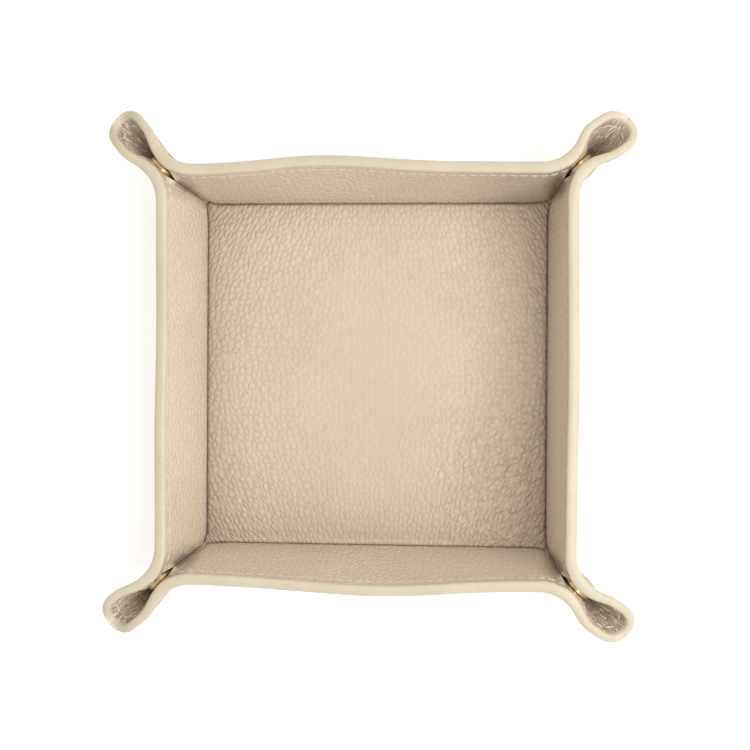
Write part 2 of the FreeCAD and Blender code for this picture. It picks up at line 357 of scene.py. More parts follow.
    def ear_point(self, share: Grid, height: Grid, depth: Grid) -> Grid:
        """Point of an ear half: a bend, a flat at the press stud, a widening and a round end at the crease.

        Args:
            share: Place from the hinge at 0 to the crease at 1.
            height: Height above the table.
            depth: Distance outwards from the inside face.

        Returns:
            Array of points, with distances along and across the diagonal and height last.
        """
        share, height, depth = np.broadcast_arrays(share, height, depth)
        lip = smooth(height, 29.5, 33.0) * smooth(share, 0.0, 0.12) * fall(share, 0.45, 0.7)
        depth = depth - self.rim_pinch * lip * (1.0 - depth / self.thickness)
        leg = self.pinch_centre(height)[0]
        narrow = self.gap(height) + depth
        crease = self.crease_foot + (height - self.fold_height) / math.tan(self.climb)
        crease = crease + (depth - self.thickness / 2.0) / math.sin(self.climb)
        nearest = leg + 0.4 + narrow
        tip = (crease + nearest + np.sqrt((crease - nearest) ** 2 + 2.0)) / 2.0
        bulb = self.bulb_inside + (self.bulb_outside - self.bulb_inside) * depth / self.thickness
        wide = narrow + bulb * smooth(height, 17.0, 32.0)
        length = np.minimum(self.slant * wide, tip - leg - 0.3)
        end = tip - length
        upper = smooth(height, 25.0, 34.0)
        start = leg + (end - leg) * (0.70 - 0.62 * upper)
        stop = start + (end - start) * (1.0 - 0.26 * upper)
        flat = np.clip((share - self.bend_share) / 0.14, 0.0, 1.0)
        widening = np.clip((share - 0.34) / 0.34, 0.0, 1.0)
        ending = np.clip((share - 0.68) / 0.32, 0.0, 1.0)
        along, across = self.pinch_point(height, depth, self.ear_angle(share))
        along = along + flat * (start - leg) + widening * (end - start)
        across = across + np.where(widening > 0.0, smooth(along, start, stop), 0.0) * (wide - narrow)
        angle = (1.0 - ending) * math.pi / 2.0
        along = np.where(ending > 0.0, end + length * np.cos(angle), along)
        across = np.where(ending > 0.0, wide * np.sin(angle), across)
        return np.stack([along, across, height], axis=-1)

    def outline(self, along: Grid, height: Grid) -> tuple[Grid, Grid, Grid]:
        """How far a point stands outside the ear's side outline, and the outward way there.

        Args:
            along: Distance along the diagonal.
            height: Height above the table.

        Returns:
            Distance outside the outline, and the way's parts along the diagonal and up.
        """
        bend = float(self.pinch_radius(np.asarray(self.rim))) - self.thickness / 2.0
        hinge = float(self.pinch_centre(np.asarray(self.rim))[0]) - bend * math.sin(HINGE_ANGLE)
        run = (math.cos(self.drop), -math.sin(self.drop))
        rise = (math.cos(self.climb), math.sin(self.climb))
        gap = (hinge - self.crease_foot, self.rim - self.fold_height)
        reach = (gap[0] * rise[1] - gap[1] * rise[0]) / (run[1] * rise[0] - run[0] * rise[1])
        reach -= self.rim_radius
        from_along = along - (hinge + run[0] * reach - math.sin(self.drop) * self.rim_radius)
        from_height = height - (self.rim + run[1] * reach - math.cos(self.drop) * self.rim_radius)
        angle = np.clip(np.arctan2(from_along, from_height), self.drop, self.drop + math.pi / 4.0)
        way_along = np.sin(angle)
        way_up = np.cos(angle)
        return from_along * way_along + from_height * way_up - self.rim_radius, way_along, way_up

    def ear_rim(self, share: Grid, depth: Numbers, inset: float) -> Grid:
        """Height at which the ear's outline, moved in by an inset, cuts each line from foot to rim.

        Args:
            share: Place from the hinge at 0 to the crease at 1.
            depth: Distance outwards from the inside face.
            inset: Distance in from the rim.

        Returns:
            Heights above the table.
        """
        low = np.full(share.shape, self.foot)
        high = np.full(share.shape, self.loft_high + 4.0)
        for _ in range(46):
            middle = (low + high) / 2.0
            point = self.ear_point(share, middle, np.broadcast_to(depth, share.shape))
            outside = self.outline(point[..., 0], middle)[0] + inset > 0.0
            high = np.where(outside, middle, high)
            low = np.where(outside, low, middle)
        return (low + high) / 2.0


SHAPE = TrayShape()


@dataclass(frozen=True)
class Corner:
    """How one corner differs: its crease's slope in degrees, fullness in and out, sway, painted shade in its
    slot, seed.
    """

    climb: float
    inside: float
    outside: float
    sway: float
    slot_painted_shade: float
    seed: float

    @property
    def shape(self) -> TrayShape:
        """The sheet's shape with this corner's own crease."""
        bulbs = {"bulb_inside": self.inside, "bulb_outside": self.outside}
        return replace(SHAPE, climb=math.radians(self.climb), sway=self.sway, **bulbs)


BOWS = {
    Side.RIGHT: Bow(middle=0.5, shift=0.1, rim_wave=0.05, seed=1.0),
    Side.BACK: Bow(middle=2.0, shift=1.3, rim_wave=0.06, seed=2.0),
    Side.LEFT: Bow(middle=0.0, shift=0.3, rim_wave=0.05, seed=3.0),
    Side.FRONT: Bow(middle=2.3, shift=0.3, rim_wave=0.05, seed=4.0),
}
# Painted shade on walls turned from the lamp, and painted shadows across wall ends beside some corners.
WALL_PAINTED_SHADE = {"back": 0.05, "right": 0.10}
END_PAINTED_SHADOW = {("back", "right"): 0.26, ("left", "front"): 0.12, ("back", "left"): 0.06}
CORNERS = {
    frozenset(("left", "back")): Corner(39.0, 2.5, 1.9, -0.7, 0.08, 1.3),
    frozenset(("right", "back")): Corner(39.3, 3.1, 2.5, 1.2, 0.22, 0.0),
    frozenset(("left", "front")): Corner(38.7, 2.6, 2.1, 1.2, 0.20, 4.2),
    frozenset(("right", "front")): Corner(39.2, 2.6, 2.1, 1.5, 0.20, 2.9),
}


class Sketch:
    """Adds nodes to one node tree and links them."""

    def __init__(self, tree: bpy.types.NodeTree) -> None:
        """Hold the tree."""
        self.tree = tree

    def add(self, kind: str, **settings: object) -> Node:
        """Add a node and set its properties.

        Args:
            kind: Blender's name for the node type.
            **settings: Properties to set on it.

        Returns:
            The new node.
        """
        node = self.tree.nodes.new(kind)
        for key, value in settings.items():
            setattr(node, key, value)
        return node

    def feed(self, node: Node, **values: object) -> Node:
        """Link sockets or set numbers on a node's inputs.

        Args:
            node: The node whose inputs are set.
            **values: Input names, with _ for a space, or i and an index, and what each takes.

        Returns:
            The same node.
        """
        for key, value in values.items():
            numbered = key[0] == "i" and key[1:].isdigit()
            socket = node.inputs[int(key[1:]) if numbered else key.replace("_", " ")]
            if isinstance(value, bpy.types.NodeSocket):
                self.tree.links.new(value, socket)
            else:
                socket.default_value = value
        return node

    def math(self, operation: str, first: object, second: object = 0.0, third: object = 0.0) -> Socket:
        """Add a Math node for an operation on up to three numbers or sockets, and give its result."""
        node = self.add("ShaderNodeMath", operation=operation)
        return self.feed(node, i0=first, i1=second, i2=third).outputs[0]

    def times(self, first: object, *others: object) -> Socket:
        """Multiply numbers and sockets one after another."""
        return reduce(lambda product, other: self.math("MULTIPLY", product, other), others, first)

    def span(self, value: object, low: float, high: float, to_low: float, to_high: float) -> Socket:
        """Map a value smoothly from one range, low to high, to another, and give the result."""
        node = self.add("ShaderNodeMapRange", interpolation_type="SMOOTHSTEP")
        return self.feed(node, i0=value, i1=low, i2=high, i3=to_low, i4=to_high).outputs[0]

    def mix(self, share: object, first: object, second: object) -> Socket:
        """Mix two colours by the second one's share, and give the result."""
        node = self.add("ShaderNodeMix", data_type="RGBA")
        return self.feed(node, i0=share, i6=first, i7=second).outputs[2]

    def vector(self, operation: str, **values: object) -> Socket:
        """Add a Vector Math node, with inputs named as for feed, and give its result."""
        return self.feed(self.add("ShaderNodeVectorMath", operation=operation), **values).outputs[0]

    def noise(self, dimensions: str, **values: object) -> Node:
        """Add a Noise node, with inputs named as for feed."""
        return self.feed(self.add("ShaderNodeTexNoise", noise_dimensions=dimensions), **values)

    def cells(self, feature: str, **values: object) -> Socket:
        """Add a flat Voronoi node, with inputs named as for feed, and give its distance."""
        node = self.add("ShaderNodeTexVoronoi", voronoi_dimensions="2D", feature=feature)
        return self.feed(node, Scale=1.0, **values).outputs["Distance"]

    def group(self, tree: bpy.types.NodeTree, **values: object) -> Node:
        """Place a node group, with inputs named as for feed."""
        return self.feed(self.add("ShaderNodeGroup", node_tree=tree), **values)

    def attribute(self, name: str, output: str = "Fac") -> Socket:
        """Read an attribute of the mesh."""
        return self.add("ShaderNodeAttribute", attribute_name=name).outputs[output]

    def solid_place(self) -> Socket:
        """Place on a solid, in millimetres."""
        return self.vector("SCALE", i0=self.add("ShaderNodeTexCoord").outputs["Object"], i3=1.0 / MM)


def new_group(name: str, outputs: tuple[str, str], **inputs: float) -> tuple[Sketch, Node, Node]:
    """Start a shader node group that takes a place on the surface.

    Args:
        name: Name of the group.
        outputs: Names of the numbers that it puts out.
        **inputs: Names of the other numbers that it takes, with their defaults.

    Returns:
        The sketch of the group's tree, its input node and its output node.
    """
    tree = bpy.data.node_groups.new(name, "ShaderNodeTree")
    tree.interface.new_socket("Place", in_out="INPUT", socket_type="NodeSocketVector")
    for key, value in inputs.items():
        socket = tree.interface.new_socket(key, in_out="INPUT", socket_type="NodeSocketFloat")
        socket.default_value = value
    for key in outputs:
        tree.interface.new_socket(key, in_out="OUTPUT", socket_type="NodeSocketFloat")
    sketch = Sketch(tree)
    return sketch, sketch.add("NodeGroupInput"), sketch.add("NodeGroupOutput")


class Effects:
    """Shader node groups that several finishes share."""

    def __init__(self) -> None:
        """Build each group once."""
        self.grain = self._grain()
        self.gathers = self._gathers()
        self.patina = self._patina()

    @staticmethod
    def _grain() -> bpy.types.NodeTree:
        """Build the pebbled grain: soft pebbles between thin grooves, and long grooves where hide is drawn.

        Returns:
            The node group.
        """
        sketch, source, result = new_group("Pebbled grain", ("Height", "Valley"), Cell=2.2, Drawn=0.0)
        share = sketch.math("DIVIDE", 1.0, source.outputs["Cell"])
        scaled = sketch.vector("SCALE", i0=source.outputs["Place"], i3=share)
        bent = scaled
        for scale, amount in ((0.35, 0.6), (1.5, 0.16)):
            warp = sketch.noise("2D", Vector=scaled, Scale=scale, Detail=1.0, Roughness=0.5)
            centred = sketch.vector("SUBTRACT", i0=warp.outputs["Color"], i1=(0.5, 0.5, 0.5))
            bent = sketch.vector("MULTIPLY_ADD", i0=centred, i1=(amount, amount, 0.0), i2=bent)
        domes = sketch.cells("SMOOTH_F1", Vector=bent, Randomness=0.74, Smoothness=0.3)
        edges = sketch.cells("DISTANCE_TO_EDGE", Vector=bent, Randomness=0.74)
        patches = sketch.noise("2D", Vector=scaled, Scale=0.7, Detail=2.0, Roughness=0.5)
        strength = sketch.span(patches.outputs["Fac"], 0.35, 0.65, 0.5, 1.0)
        groove = sketch.times(sketch.span(edges, 0.0, 0.26, 1.0, 0.0), strength)
        slanted = sketch.add("ShaderNodeMapping", vector_type="TEXTURE")
        sketch.feed(slanted, Vector=bent, Rotation=(0.0, 0.0, math.radians(-66.0)), Scale=(1.5, 2.8, 1.0))
        lines = sketch.cells("DISTANCE_TO_EDGE", Vector=slanted.outputs[0], Randomness=0.9)
        long_groove = sketch.times(sketch.span(lines, 0.0, 0.18, 1.0, 0.0), source.outputs["Drawn"])
        pores = sketch.noise("2D", Vector=scaled, Scale=5.0, Detail=3.0, Roughness=0.6)
        height = sketch.span(domes, 0.0, 0.75, 0.62, 0.0)
        for part, amount in ((groove, -0.28), (long_groove, -0.20), (pores.outputs["Fac"], 0.08)):
            height = sketch.math("MULTIPLY_ADD", part, amount, height)
        sketch.feed(result, Height=height, Valley=sketch.math("MAXIMUM", groove, long_groove))
        return sketch.tree

    @staticmethod
    def _gathers() -> bpy.types.NodeTree:
        """Build the fine wrinkles that run along a pinched fold.

        Returns:
            The node group.
        """
        sketch, source, result = new_group("Fold gathers", ("Height", "Valley"))
        stretched = sketch.vector("MULTIPLY", i0=source.outputs["Place"], i1=(1.25, 0.20, 0.0))
        lines = sketch.noise("2D", Vector=stretched, Scale=1.0, Detail=3.0, Roughness=0.55, Distortion=0.6)
        ridge = sketch.math("ABSOLUTE", sketch.math("SUBTRACT", lines.outputs["Fac"], 0.5))
        height = sketch.span(ridge, 0.0, 0.11, 0.0, 1.0)
        sketch.feed(result, Height=height, Valley=sketch.span(ridge, 0.0, 0.055, 1.0, 0.0))
        return sketch.tree

    @staticmethod
    def _patina() -> bpy.types.NodeTree:
        """Build the cloudy change of tone that hides and coats have.

        Returns:
            The node group.
        """
        sketch, source, result = new_group("Cloudy tone", ("Tone", "Speck"), Size=30.0)
        share = sketch.math("DIVIDE", 1.0, source.outputs["Size"])
        scaled = sketch.vector("SCALE", i0=source.outputs["Place"], i3=share)
        cloud = sketch.noise("3D", Vector=scaled, Scale=1.0, Detail=4.0, Roughness=0.55)
        speck = sketch.noise("3D", Vector=scaled, Scale=19.0, Detail=2.0, Roughness=0.6)
        tone = sketch.span(cloud.outputs["Fac"], 0.30, 0.70, 0.0, 1.0)
        sketch.feed(result, Tone=tone, Speck=sketch.span(speck.outputs["Fac"], 0.35, 0.70, 0.0, 1.0))
        return sketch.tree


def new_material(name: str) -> tuple[Material, Sketch, Node]:
    """Start a material with one Principled shader.

    Args:
        name: Name of the material.

    Returns:
        The material, the sketch of its tree and its shader.
    """
    material = bpy.data.materials.new(name)
    material.use_nodes = True
    return material, Sketch(material.node_tree), material.node_tree.nodes["Principled BSDF"]


@dataclass(frozen=True)
class Finish(ABC):
    """What every finish has: a name, a colour, and the shade that it varies towards."""

    name: str
    colour: Colour
    shade: Colour
    constants: ClassVar[dict[str, float]] = {}

    @abstractmethod
    def look(self, effects: Effects, sketch: Sketch) -> Look:
        """Lay out nodes for the finish, and give its colour, its roughness and its height in millimetres."""

    def material(self, effects: Effects) -> Material:
        """Make the material.

        Args:
            effects: The shared node groups.

        Returns:
            The new material.
        """
        material, sketch, shader = new_material(self.name)
        colour, roughness, height = self.look(effects, sketch)
        bump = sketch.feed(sketch.add("ShaderNodeBump"), Height=height, Distance=MM, Strength=1.0)
        sketch.feed(shader, Base_Color=colour, Roughness=roughness, Normal=bump.outputs["Normal"])
        for socket, value in self.constants.items():
            shader.inputs[socket].default_value = value
        return material


@dataclass(frozen=True)
class LeatherFinish(Finish):
    """Look of one leather face, with the size, depth and tone of its grain. Sizes are in millimetres."""

    cell: float
    depth: float
    valley: float
    roughness: float
    gather: float = 0.0
    # Dark brown that the painted shade in creases and wrinkle valleys mixes towards.
    painted_shade_colour: ClassVar[Colour] = srgb(84, 64, 38)
    constants: ClassVar[dict[str, float]] = {"Specular IOR Level": 0.35, "Sheen Weight": 0.05}

    def look(self, effects: Effects, sketch: Sketch) -> Look:
        """Lay out pebbles, clouds of tone, gathers, and shade painted into creases and the gathers' valleys.

        Args:
            effects: The shared node groups.
            sketch: The material's nodes.

        Returns:
            Colour, roughness and height.
        """
        place = sketch.attribute("sheet", "Vector")
        fold = sketch.attribute("fold")
        relief = sketch.attribute("relief")
        grain = sketch.group(effects.grain, Place=place, Cell=self.cell, Drawn=sketch.attribute("drawn"))
        patina = sketch.group(effects.patina, Place=place, Size=28.0)
        gathers = sketch.group(effects.gathers, Place=place)
        colour = sketch.mix(sketch.times(patina.outputs["Tone"], 0.15), self.colour, self.shade)
        valley = sketch.times(grain.outputs["Valley"], relief)
        colour = sketch.mix(sketch.times(valley, self.valley), colour, self.shade)
        # Painted shade: the gathers' valleys and the crease attribute darken the colour towards dark brown
        # where shade falls.
        lines = sketch.times(gathers.outputs["Valley"], fold, self.gather)
        colour = sketch.mix(lines, colour, self.painted_shade_colour)
        colour = sketch.mix(sketch.attribute("crease"), colour, self.painted_shade_colour)
        roughness = sketch.math("MULTIPLY_ADD", valley, 0.10, self.roughness)
        roughness = sketch.math("MULTIPLY_ADD", patina.outputs["Speck"], 0.06, roughness)
        pebbles = sketch.times(grain.outputs["Height"], relief, self.depth)
        wrinkles = sketch.times(gathers.outputs["Height"], fold, 0.35 * self.gather)
        return colour, roughness, sketch.math("ADD", pebbles, wrinkles)


@dataclass(frozen=True)
class PaintFinish(Finish):
    """Look of the painted edge coat."""

    roughness: float
    constants: ClassVar[dict[str, float]] = {"Specular IOR Level": 0.45}

    def look(self, effects: Effects, sketch: Sketch) -> Look:
        """Lay out a slightly uneven coat.

        Args:
            effects: The shared node groups.
            sketch: The material's nodes.

        Returns:
            Colour, roughness and height.
        """
        patina = sketch.group(effects.patina, Place=sketch.attribute("sheet", "Vector"), Size=14.0)
        tone, speck = patina.outputs["Tone"], patina.outputs["Speck"]
        colour = sketch.mix(sketch.times(tone, 0.7), self.colour, self.shade)
        roughness = sketch.math("MULTIPLY_ADD", speck, 0.12, self.roughness)
        return colour, roughness, sketch.math("MULTIPLY_ADD", speck, 0.02, sketch.times(tone, 0.10))


@dataclass(frozen=True)
class ThreadFinish(Finish):
    """Look of the twisted sewing thread."""

    constants: ClassVar[dict[str, float]] = {"Sheen Weight": 0.15}

    def look(self, effects: Effects, sketch: Sketch) -> Look:
        """Lay out the bands of the twist.

        Args:
            effects: The shared node groups.
            sketch: The material's nodes.

        Returns:
            Colour, roughness and height.
        """
        place = sketch.attribute("sheet", "Vector")
        twist = sketch.add("ShaderNodeTexWave", wave_type="BANDS", bands_direction="DIAGONAL")
        band = sketch.feed(twist, Vector=place, Scale=0.42, Distortion=0.4, Detail=1.0).outputs["Fac"]
        patina = sketch.group(effects.patina, Place=place, Size=9.0)
        colour = sketch.mix(sketch.span(band, 0.0, 0.5, 0.55, 0.0), self.colour, self.shade)
        colour = sketch.mix(sketch.times(patina.outputs["Tone"], 0.35), colour, self.shade)
        return colour, sketch.math("MULTIPLY_ADD", band, 0.15, 0.5), sketch.times(band, 0.12)


@dataclass(frozen=True)
class BrassFinish(Finish):
    """Look of the press studs."""

    constants: ClassVar[dict[str, float]] = {"Metallic": 1.0}

    def look(self, effects: Effects, sketch: Sketch) -> Look:
        """Lay out faint clouds and specks on metal.

        Args:
            effects: The shared node groups.
            sketch: The material's nodes.

        Returns:
            Colour, roughness and height.
        """
        patina = sketch.group(effects.patina, Place=sketch.solid_place(), Size=3.0)
        speck = patina.outputs["Speck"]
        colour = sketch.mix(sketch.times(patina.outputs["Tone"], 0.5), self.colour, self.shade)
        return colour, sketch.math("MULTIPLY_ADD", speck, 0.10, 0.16), sketch.times(speck, 0.008)


@dataclass(frozen=True)
class FibreFinish(Finish):
    """Look of the hidden board and felt, with the size of its fibres in millimetres."""

    fibre: float

    def look(self, effects: Effects, sketch: Sketch) -> Look:
        """Lay out specks of fibre.

        Args:
            effects: The shared node groups.
            sketch: The material's nodes.

        Returns:
            Colour, roughness and height.
        """
        patina = sketch.group(effects.patina, Place=sketch.solid_place(), Size=self.fibre)
        speck = patina.outputs["Speck"]
        roughness = sketch.math("MULTIPLY_ADD", patina.outputs["Tone"], 0.1, 0.85)
        return sketch.mix(speck, self.colour, self.shade), roughness, sketch.times(speck, 0.08)


class Palette:
    """The tray's materials, each made once."""

    def __init__(self) -> None:
        """Make the shared effects and every material."""
        effects = Effects()
        # The walls' and ears' lining is the base's leather painted lighter: painted light that stands in for
        # the lamp's light on them.
        hide = srgb(241, 227, 204)
        shade = srgb(200, 180, 152)
        base_hide = srgb(224, 208, 184)
        base_shade = srgb(190, 168, 138)
        outer_hide = srgb(226, 209, 185)
        base = LeatherFinish(
            "Base lining leather", base_hide, base_shade, cell=2.05, depth=0.40, valley=0.28, roughness=0.46
        )
        wall = LeatherFinish(
            "Wall lining leather", hide, shade, cell=2.0, depth=0.30, valley=0.20, roughness=0.48, gather=0.5
        )
        ear = LeatherFinish(
            "Ear lining leather", hide, shade, cell=1.7, depth=0.10, valley=0.10, roughness=0.50, gather=0.6
        )
        outer = LeatherFinish(
            "Outer leather", outer_hide, shade, cell=2.1, depth=0.24, valley=0.20, roughness=0.47
        )
        paint = PaintFinish("Edge paint", srgb(227, 216, 189), srgb(217, 206, 177), roughness=0.38)
        thread = ThreadFinish("Sewing thread", srgb(251, 240, 222), srgb(232, 215, 188))
        brass = BrassFinish("Polished brass", srgb(250, 224, 178), srgb(228, 190, 132))
        # Caps and posts are the same brass painted darker: painted shade where they show beside the painted
        # edge.
        shaded_brass = BrassFinish("Shade-painted brass", srgb(172, 144, 104), srgb(142, 114, 76))
        board = FibreFinish("Grey board", srgb(172, 160, 142), srgb(140, 128, 112), fibre=4.0)
        felt = FibreFinish("Pad felt", srgb(206, 198, 184), srgb(178, 168, 152), fibre=7.0)
        self.base_lining = base.material(effects)
        self.wall_lining = wall.material(effects)
        self.ear_lining = ear.material(effects)
        self.outer = outer.material(effects)
        self.paint = paint.material(effects)
        self.thread = thread.material(effects)
        self.brass = brass.material(effects)
        self.shade_painted_brass = shaded_brass.material(effects)
        self.board = board.material(effects)
        self.felt = felt.material(effects)


def linked(name: str, data: bpy.types.ID) -> Piece:
    """Put an object into the scene.

    Args:
        name: Name of the object.
        data: Its mesh, camera or light.

    Returns:
        The new object.
    """
    thing = bpy.data.objects.new(name, data)
    bpy.context.scene.collection.objects.link(thing)
    return thing


class Shell:
    """Collects patches of points into one mesh with the attributes that the finishes read."""

    LAYERS: ClassVar[dict[str, float]] = {"crease": 0.0, "fold": 0.0, "relief": 1.0, "drawn": 0.0}

    def __init__(self) -> None:
        """Start with no points."""
        self.points: list[Grid] = []
        self.sheet: list[Grid] = []
        self.layers: dict[str, list[Grid]] = {key: [] for key in self.LAYERS}
        self.faces: list[tuple[int, ...]] = []
        self.count = 0

    def patch(
        self, points: Grid, sheet: Grid, loop: bool = False, caps: bool = False, **layers: Numbers
    ) -> None:
        """Add a grid of points with faces between them.

        Args:
            points: Rows and columns of points, in millimetres.
            sheet: The same grid of flat sheet coordinates, in millimetres.
            loop: Whether the last column joins the first.
            caps: Whether the first and last rows are closed with a face each.
            **layers: What the finishes read at each point, 0 to 1: crease, painted shade, how far the colour
                      is
            darkened where shade falls in creases, corners and slots and on walls turned from the lamp; fold,
            how far it is gathered; drawn, how far long grooves run across the grain; and relief, the depth of
            the grain as a share of its usual depth.
        """
        rows, columns = points.shape[:2]
        index = self.count + np.arange(rows * columns).reshape(rows, columns)
        ring = np.concatenate([index, index[:, :1]], axis=1) if loop else index
        quads = np.stack([ring[:-1, :-1], ring[:-1, 1:], ring[1:, 1:], ring[1:, :-1]], axis=-1)
        self.faces.extend(tuple(quad) for quad in quads.reshape(-1, 4).tolist())
        if caps:
            self.faces += [tuple(index[0].tolist()), tuple(index[-1][::-1].tolist())]
        flat = np.zeros((rows * columns, 3))
        flat[:, : sheet.shape[-1]] = sheet.reshape(rows * columns, -1)
        self.points.append(points.reshape(-1, 3))
        self.sheet.append(flat)
        for key, usual in self.LAYERS.items():
            self.layers[key].append(np.broadcast_to(layers.get(key, usual), (rows, columns)).reshape(-1))
        self.count += rows * columns

    def slab(self, front: Grid, back: Grid, sheet: Grid, **layers: Numbers) -> None:
        """Add a closed slab between two grids of the same size.

        Args:
            front: The face that shows.
            back: The face inside the sheet.
            sheet: Flat sheet coordinates of the grid.
            **layers: What the finishes read at each point, as for patch.
        """
        layers = {key: np.broadcast_to(values, front.shape[:2]) for key, values in layers.items()}
        self.patch(front, sheet, **layers)
        self.patch(back, sheet, **layers)
        for cut in (np.s_[:1, :], np.s_[-1:, :], np.s_[:, :1], np.s_[:, -1:]):
            edge = [grid[cut].reshape(1, -1, grid.shape[-1]) for grid in (front, back, sheet)]
            both = {key: np.tile(values[cut].reshape(1, -1), (2, 1)) for key, values in layers.items()}
            self.patch(np.concatenate(edge[:2]), np.concatenate([edge[2], edge[2]]), **both)

    def piece(self, name: str, material: Material, slot: str, node: str = "") -> Piece:
        """Make the mesh object.

        Args:
            name: Name of the piece.
            material: Its finish.
            slot: The record's material slot for it; not used.
            node: The solid that it stands for, if any.

        Returns:
            The new object.
        """
        mesh = bpy.data.meshes.new(name)
        mesh.from_pydata((np.concatenate(self.points) * MM).tolist(), [], self.faces)
        flat = mesh.attributes.new("sheet", "FLOAT_VECTOR", "POINT")
        flat.data.foreach_set("vector", np.concatenate(self.sheet).astype(np.float32).ravel())
        for key, values in self.layers.items():
            layer = mesh.attributes.new(key, "FLOAT", "POINT")
            layer.data.foreach_set("value", np.concatenate(values).astype(np.float32))
        work = bmesh.new()
        work.from_mesh(mesh)
        bmesh.ops.remove_doubles(work, verts=work.verts, dist=WELD_DISTANCE)
        bmesh.ops.recalc_face_normals(work, faces=work.faces)
        work.to_mesh(mesh)
        work.free()
        mesh.shade_smooth()
        mesh.set_sharp_from_angle(angle=SHARP_ANGLE)
        mesh.materials.append(material)
        piece = linked(name, mesh)
        if node:
            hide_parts(node)
        return piece


def turned(points: Grid, place: Grid) -> Grid:
    """Carry points to another wall or corner.

    Args:
        points: Points with x, y and z last.
        place: Two by two matrix for x and y.

    Returns:
        The carried points.
    """
    carried = points.copy()
    carried[..., :2] = points[..., :2] @ place.T
    return carried


def travelled(points: Grid, axis: int = 0) -> Grid:
    """Length of the way along rows or columns of points, from 0 at the first."""
    steps = np.linalg.norm(np.diff(points, axis=axis), axis=-1)
    return np.insert(np.cumsum(steps, axis=axis), 0, 0.0, axis=axis)


def unit(ways: Grid) -> Grid:
    """Ways of length 1."""
    return ways / np.linalg.norm(ways, axis=-1, keepdims=True)


def grid_normals(points: Grid, toward: Grid) -> Grid:
    """Normals of a grid of points, turned to one side.

    Args:
        points: Rows and columns of points.
        toward: A way that every normal should roughly follow.

    Returns:
        Unit normals for each point.
    """
    normal = np.cross(np.gradient(points, axis=0), np.gradient(points, axis=1))
    normal /= np.maximum(np.linalg.norm(normal, axis=-1, keepdims=True), 1e-9)
    facing = np.sign(np.sum(normal * toward, axis=-1, keepdims=True))
    return normal * np.where(facing == 0.0, 1.0, facing)


def stations(*runs: tuple[float, float, int]) -> Grid:
    """Places in runs that join, each run with its first place, its last place and its count."""
    parts = [np.linspace(*run) for run in runs]
    return np.concatenate(parts[:1] + [part[1:] for part in parts[1:]])


def lifted(foot: float, top: Grid, count: int, crowd: float) -> Grid:
    """Heights of rows from a foot up to a rim.

    Args:
        foot: Height of the first row.
        top: Height of the rim at each column.
        count: How many rows.
        crowd: 0 for even steps, up to 1 for steps that are small at foot and rim.

    Returns:
        Grid of heights.
    """
    share = np.linspace(0.0, 1.0, count)[:, None]
    eased = (1.0 - np.cos(math.pi * share)) / 2.0
    return foot + (top[None, :] - foot) * (share * (1.0 - crowd) + eased * crowd)


@dataclass(frozen=True)
class Stitching:
    """One row of sewn thread. Sizes are in millimetres."""

    pitch: float = 3.2
    length: float = 2.7
    width: float = 0.78
    height: float = 0.50
    below_rim: float = 3.0
    lead: float = 0.4

    def sew(self, shell: Shell, path: Grid, normal: Grid) -> None:
        """Lay stitches along a path.

        Args:
            shell: Where the thread's points go.
            path: Points along the row, in millimetres.
            normal: Outward way at each of those points.
        """
        travel = travelled(path)
        room = travel[-1] - 2.0 * self.lead + self.pitch - self.length
        count = int((room + 0.01) / self.pitch)
        pitch = room / max(count, 1)
        row = np.concatenate([path, normal], axis=1)
        for number in range(count):
            self._stitch(shell, row, travel, number, pitch)

    def _stitch(self, shell: Shell, row: Grid, travel: Grid, number: int, pitch: float) -> None:
        """Add one stitch, arched out of its two holes.

        Args:
            shell: Where the thread's points go.
            row: Points along the row, each with its outward way.
            travel: Length of path up to each point.
            number: Which stitch this is.
            pitch: Length of path from stitch to stitch.
        """
        start = self.lead + number * pitch
        share = np.linspace(0.0, 1.0, 9)
        place = start + share * self.length
        found = np.stack([np.interp(place, travel, values) for values in row.T], axis=-1)
        core = found[:, :3]
        up = unit(found[:, 3:])
        side = np.cross(up, unit(np.gradient(core, axis=0)))
        lean = 0.16 * math.sin(2.4 * number + start)
        core = core + side * (lean * (share - 0.5))[:, None]
        arch = np.sqrt(np.clip(1.0 - (2.0 * share - 1.0) ** 2, 0.0, 1.0))
        core = core + up * (self.height * (0.62 * arch - 0.26))[:, None]
        swell = 0.55 + 0.45 * arch
        angle = np.linspace(0.0, 2.0 * math.pi, 9)[:-1]
        around = side[:, None, :] * (np.cos(angle) * self.width / 2.0)[None, :, None]
        around = around + up[:, None, :] * (np.sin(angle) * self.height / 2.0)[None, :, None]
        points = core[:, None, :] + around * swell[:, None, None]
        sheet = np.stack(np.broadcast_arrays(place[:, None] * 2.2, angle[None, :] * 0.8, 0.0), axis=-1)
        shell.patch(points, sheet, loop=True, caps=True)


